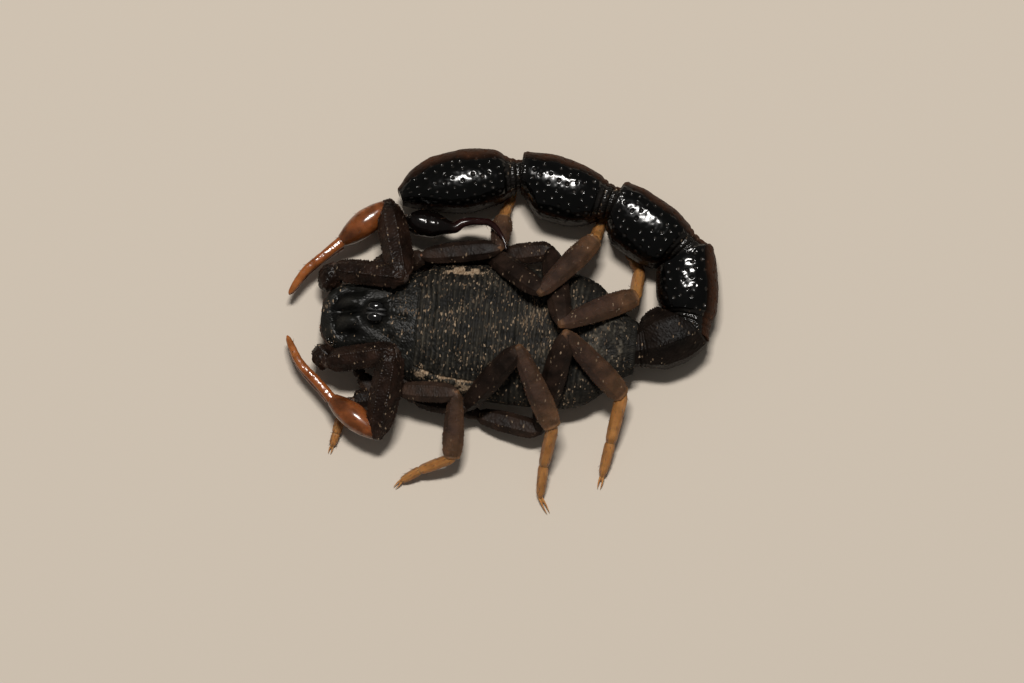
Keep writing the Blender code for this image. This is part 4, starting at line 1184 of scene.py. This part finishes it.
def sprinkle(tube, seed):
    """Crumbs of sand stuck to a limb, more here and fewer there."""
    return 0.06 * (0.4 + step(-0.3, 0.6, tube.noise(0.6, seed)))


def mirrored(corners):
    """The same section seen from the limb's other side."""
    return tuple(sorted(((180 - degrees) % 360, reach) for degrees, reach in corners))


def build_claws(foot, tip, girth):
    """The pair of curved claws at a leg's end and the small spur between them."""
    across = unit(np.cross(unit(tip - foot), UP))
    made = []
    for side, _ in SIDES:
        root = foot + across * side * 0.045 * girth
        end = tip + across * side * 0.055 * girth
        hook = (UP * 0.10 + across * side * 0.07) * girth
        made.append(spine(root, end, 0.045 * girth, hook, 14, 12).patch(0.02, 0.0, 2))
    middle = foot + (tip - foot) * 0.36 - UP * 0.02
    made.append(spine(foot, middle, 0.05 * girth, rings=8, around=10).patch(0.02, 0.0, 2))
    return made


class Leg:
    """What the stretches of one leg share; angles round them are those of a left leg."""

    def __init__(self, name):
        number = name.split("_")[1]
        self.name = name
        self.joints = np.array(LEGS[name])
        self.girth = LEG_GIRTH[number]
        self.bow = PATELLA_BOW[number]
        self.wear = PALEST_WEAR if name == PALEST_LEG else PATELLA_WEAR[number]
        self.seed = 200 + 20 * list(LEGS).index(name)
        self.right = "right" in name

    def turn(self, degrees):
        return 180 - degrees if self.right else degrees

    def stretch(self, first, profile, rings, around=60, corners=LEG_CORNERS, bow=0.0):
        """The tube from a joint to the next one."""
        section = mirrored(corners) if self.right else corners
        return limb(self.joints[first], self.joints[first + 1], profile, self.girth, bow,
                    rings=rings, around=around, section=section)


def build_femur(leg, brown, hair):
    """The short stretch at the hip and the thigh."""
    hip = limb(leg.joints[0], leg.joints[1], TROCHANTER_PROFILE, leg.girth, rings=26, around=40)
    thigh = leg.stretch(1, FEMUR_PROFILE, 88)
    angles = (leg.turn(56), leg.turn(120), 0, 180)
    for tube, height in ((hip, 0.012), (thigh, 0.032)):
        tube.push(keeled(tube, angles, 6, height, 0.085, leg.seed))
        tube.tone = 0.25 + 0.2 * tube.noise(0.5, leg.seed + 6)
        tube.dust = sprinkle(tube, leg.seed + 7)
    patches = [hip.patch(0.1, 0.1), thigh.patch(0.06, 0.06)]
    patches += bristles(thigh, 12, 0.13, leg.seed + 8)
    shell(f"{leg.name}_femur", patches, [brown, hair], "limb_brown")


def build_patella(leg, brown, hair):
    tube = leg.stretch(2, PATELLA_PROFILE, 112, 64, bow=leg.bow)
    angles = (leg.turn(56), leg.turn(120), 0, 180)
    tube.push(keeled(tube, angles, 5, 0.036, 0.085, leg.seed + 9))
    tube.tone = leg.wear + 0.25 * step(0.88, 1.0, tube.share) + 0.2 * tube.noise(0.5, leg.seed + 10)
    tube.dust = sprinkle(tube, leg.seed + 11)
    if leg.wear == PALEST_WEAR:
        tube.dust += 0.30 * step(0.90, 1.0, tube.share)
    patches = [tube.patch(0.08, 0.08)] + bristles(tube, 14, 0.14, leg.seed + 12)
    shell(f"{leg.name}_patella", patches, [brown, hair], "limb_brown")


def build_tibia(leg, grey, hair):
    tube = leg.stretch(3, TIBIA_PROFILE, 104)
    rim = 0.022 * bell(tube.share - 0.985, 0.012)
    tube.push(keeled(tube, (leg.turn(56), 0, 180), 5, 0.034, 0.08, leg.seed + 13) + rim)
    shaded = 0.5 - 0.5 * np.cos(tube.angle - math.radians(leg.turn(30)))
    ends = 0.45 * step(0.955, 0.995, tube.share) + 0.20 * (1 - step(0.0, 0.040, tube.share))
    tube.tone = (0.05 * leg.wear + 0.10 * shaded + 0.16 * step(0.55, 0.95, tube.share) + ends
                 + 0.05 * tube.noise(0.5, leg.seed + 14))
    tube.dust = sprinkle(tube, leg.seed + 15)
    patches = [tube.patch(0.08, 0.02)] + bristles(tube, 18, 0.15, leg.seed + 16)
    piece(f"{leg.name}_tibia", patches, [grey, hair], "limb_grey", f"{leg.name}_shin_foot")


def build_foot(leg, tan, hair):
    """The two stretches of the foot and its claws."""
    patches = []
    for first, profile in ((4, BASITARSUS_PROFILE), (5, TELOTARSUS_PROFILE)):
        tube = leg.stretch(first, profile, 52, 34, FOOT_CORNERS)
        keel = 0.010 * tube.near_angle(leg.turn(70), 9)
        tube.push(keel + 0.006 * tube.noise(0.2, leg.seed + 17))
        tube.tone = (0.35 + 0.35 * tube.noise(0.4, leg.seed + 18)
                     + 0.4 * tube.near_angle(leg.turn(20), 30) + 0.3 * bell(tube.share - 0.97, 0.04))
        patches += [tube.patch(0.06, 0.04)] + bristles(tube, 20, 0.13, leg.seed + 19 + first)
    patches += build_claws(*leg.joints[6:], leg.girth)
    piece(f"{leg.name}_foot", patches, [tan, hair, tan], "tarsus_tan", f"{leg.name}_shin_foot")


def build_arm(side, brown, honey, red, hair):
    """One pincer arm; the angles of its keels are those of the left arm."""
    joints = np.array(ARMS[side])
    seed = 500 if side == "left" else 540
    section = ARM_CORNERS if side == "left" else mirrored(ARM_CORNERS)
    turn = (lambda degrees: degrees) if side == "left" else (lambda degrees: 180 - degrees)
    upper_keels = [turn(degrees) for degrees in (8, 58, 104, 172)]
    front, _, behind_top, rear = upper_keels
    # part, profile, angles and height of its keels, size of its granules, rings and the
    # number of points in a ring
    stretches = (
        ("trochanter", SHOULDER_PROFILE, (40, 90, 140, 220, 320), 0.060, 0.14, 60, 90),
        ("femur", UPPER_ARM_PROFILE, (front, behind_top, rear, 222, 318), 0.060, 0.105, 120, 110),
        ("patella", FOREARM_PROFILE, (*upper_keels, 222), 0.050, 0.105, 130, 120),
    )
    for serial, (part, profile, angles, height, size, rings, around) in enumerate(stretches):
        own = seed + 8 * serial
        tube = limb(joints[serial], joints[serial + 1], profile, rings=rings, around=around,
                    section=section)
        ends = step(0.80, 0.98, tube.share)
        if part != "femur":
            ends = ends + 1 - step(0.02, 0.16, tube.share)
        lumps = grains(tube, 0.16, 0.050, own + 4) + 0.045 * tube.noise(0.28, own + 3)
        tube.push(keeled(tube, angles, 5, height, size, own) + grains(tube, size, 0.014, own + 5)
                  + ends * lumps)
        tube.tone = 0.15 + 0.25 * tube.noise(0.5, own + 6) + 0.25 * step(0.9, 1.0, tube.share)
        tube.dust = sprinkle(tube, own + 7)
        patches = [tube.patch(0.12, 0.14)] + bristles(tube, 14, 0.14, own + 8)
        shell(f"pedipalp_{side}_{part}", patches, [brown, hair], "limb_brown")
    build_pincer(f"pedipalp_{side}", *joints[3:], seed, honey, red, hair)


def build_pincer(name, wrist, palm_end, bend, tip, seed, honey, red, hair):
    """The palm with its upper, fixed finger, and the lower finger that moves."""
    half_gap = UP * FINGER_SPREAD
    palm = limb(wrist, palm_end, PALM_PROFILE, rings=115, around=92, section=2)
    palm.push(ridge(palm, 40, 7, 0.014, 0.16, 0) + ridge(palm, 146, 7, 0.014, 0.16, 0)
              + 0.009 * palm.noise(0.25, seed + 26))
    palm.tone = (0.60 * (1 - step(0.0, 0.20, palm.share)) + 0.45 * bell(palm.share - 0.90, 0.18)
                 + 0.25 * palm.near_angle(92, 34) * step(0.2, 0.8, palm.share))
    root = palm_end - unit(bend - palm_end) * 0.30 + half_gap * 0.1
    path = (root, (palm_end + bend) / 2 + half_gap * 0.9, bend + half_gap, tip + half_gap * 0.6)
    upper = along_path(path, 140, FINGER_WIDTHS, 44)
    root = palm_end * 0.94 + bend * 0.06 - half_gap * 1.6
    lower = along_path((root, bend - half_gap, tip - half_gap * 0.6), 140, FINGER_WIDTHS, 44)
    for finger, inward in ((upper, 270), (lower, 90)):
        teeth = 0.5 + 0.5 * np.cos(TURN * finger.along / 0.09)
        teeth = teeth * finger.near_angle(inward, 9) * step(0.2, 0.3, finger.share)
        finger.push(0.018 * teeth + 0.010 * finger.noise(0.14, seed + 27)
                    + ridge(finger, 70, 9, 0.010, 0.2, seed + 29))
        finger.tone = (0.2 + 0.8 * step(0.5, 1.0, finger.share)
                       + 0.2 * finger.noise(0.5, seed + 33))
    patches = [palm.patch(0.1, 0.1), upper.patch(0.05, 0.01, material=1)]
    patches += bristles(palm, 14, 0.18, seed + 28, 2) + bristles(upper, 12, 0.14, seed + 30, 2)
    shell(f"{name}_hand", patches, [honey, red, hair], "pincer_honey")
    patches = [lower.patch(0.05, 0.01)] + bristles(lower, 12, 0.14, seed + 32)
    shell(f"{name}_finger", patches, [red, hair], "finger_red")


def build_joint_skins(skin):
    """Small soft folds that fill the bends of the limbs and the root of the sting's bulb."""
    patches = []
    for name, joints in LEGS.items():
        girth = LEG_GIRTH[name.split("_")[1]]
        for index, radius in ((1, 0.17), (2, 0.17), (3, 0.17), (4, 0.18), (5, 0.15)):
            patches.append(ball(joints[index], radius * girth, around=22).patch(0.0, 0.0))
    for joints in ARMS.values():
        for index, radius in ((1, 0.29), (2, 0.27), (3, 0.22)):
            patches.append(dark(ball(joints[index], radius)).patch(0.0, 0.0))
    patches.append(dark(ball(BULB_ROOT, 0.26)).patch(0.0, 0.0))
    piece("joint_skins", patches, [skin], "membrane_tan")


# ================= stage =================

def camera_axes():
    a, e = CAMERA_AZIMUTH, CAMERA_ELEVATION
    right = Vector((math.cos(a), math.sin(a), 0))
    above = Vector((-math.sin(a) * math.sin(e), math.cos(a) * math.sin(e), math.cos(e)))
    back = Vector((math.sin(a) * math.cos(e), -math.cos(a) * math.cos(e), math.sin(e)))
    return right, above, back


def add_object(name, data, place=(0, 0, 0), way=None):
    """An object at a place in metres; a camera or a lamp there looks back along the way."""
    made = bpy.data.objects.new(name, data)
    made.location = place
    if way is not None:
        made.rotation_mode = "QUATERNION"
        made.rotation_quaternion = (-way).to_track_quat("-Z", "Y")
    bpy.context.scene.collection.objects.link(made)
    return made


def make_camera():
    right, above, back = camera_axes()
    target = right * VIEW_RIGHT + above * VIEW_UP + back * VIEW_DEPTH
    camera = bpy.data.cameras.new("camera")
    camera.sensor_width = 36
    camera.lens = camera.sensor_width * CAMERA_DISTANCE / VIEW_WIDTH
    place = (target + back * CAMERA_DISTANCE) * MM
    bpy.context.scene.camera = add_object("camera", camera, place, back)


def make_key_light():
    """A warm soft box that looks at the animal from above the camera's own line."""
    right, above, back = camera_axes()
    way = (back - right * 0.02 + above * 0.44).normalized()
    light = bpy.data.lights.new("key", "AREA")
    light.shape = "RECTANGLE"
    light.size = 100 * MM
    light.size_y = 40 * MM
    light.energy = 1.60
    light.color = (1.0, 0.965, 0.92)
    add_object("key", light, way * 420 * MM, way)


def make_floor():
    corners = [(x * FLOOR_REACH, y * FLOOR_REACH, 0)
               for x, y in ((-1, -1), (1, -1), (1, 1), (-1, 1))]
    mesh = bpy.data.meshes.new("floor")
    mesh.from_pydata(corners, [], [(0, 1, 2, 3)])
    paint = bpy.data.materials.new("floor_paint")
    paint.use_nodes = True
    shader = paint.node_tree.nodes["Principled BSDF"]
    shader.inputs["Base Color"].default_value = FLOOR_COLOUR
    shader.inputs["Roughness"].default_value = 0.8
    mesh.materials.append(paint)
    add_object("floor", mesh)


def make_stage():
    make_floor()
    world = bpy.data.worlds.new("studio")
    world.use_nodes = True
    shader = world.node_tree.nodes["Background"]
    shader.inputs["Color"].default_value = (1.0, 0.97, 0.93, 1)
    shader.inputs["Strength"].default_value = 0.12
    bpy.context.scene.world = world
    make_key_light()
    bpy.context.scene.view_settings.view_transform = "Standard"


def build_scorpion():
    matte, head, tail_root, gloss = matte_shell(), head_shell(), tail_root_shell(), gloss_shell()
    brown, arm, grey, tan = brown_limb(), brown_arm(), grey_limb(), tan_foot()
    honey, red, belly, eye = honey_hand(), red_finger(), brown_belly(), black_eye()
    comb, skin, hair = tan_comb(), soft_skin(), bristle_finish()
    build_carapace(head, brown)
    build_eyes(eye)
    build_back_plates(matte)
    build_belly(belly)
    build_side_skins(skin)
    build_leg_bases(belly)
    build_pectines(comb)
    build_mouthparts(brown, red)
    build_tail(tail_root, gloss, tail_side())
    build_telson(sting_red(), hair)
    for leg in map(Leg, LEGS):
        build_femur(leg, brown, hair)
        build_patella(leg, brown, hair)
        build_tibia(leg, grey, hair)
        build_foot(leg, tan, hair)
    for side in ARMS:
        build_arm(side, arm, honey, red, hair)
    build_joint_skins(skin)


build_scorpion()
make_camera()
make_stage()
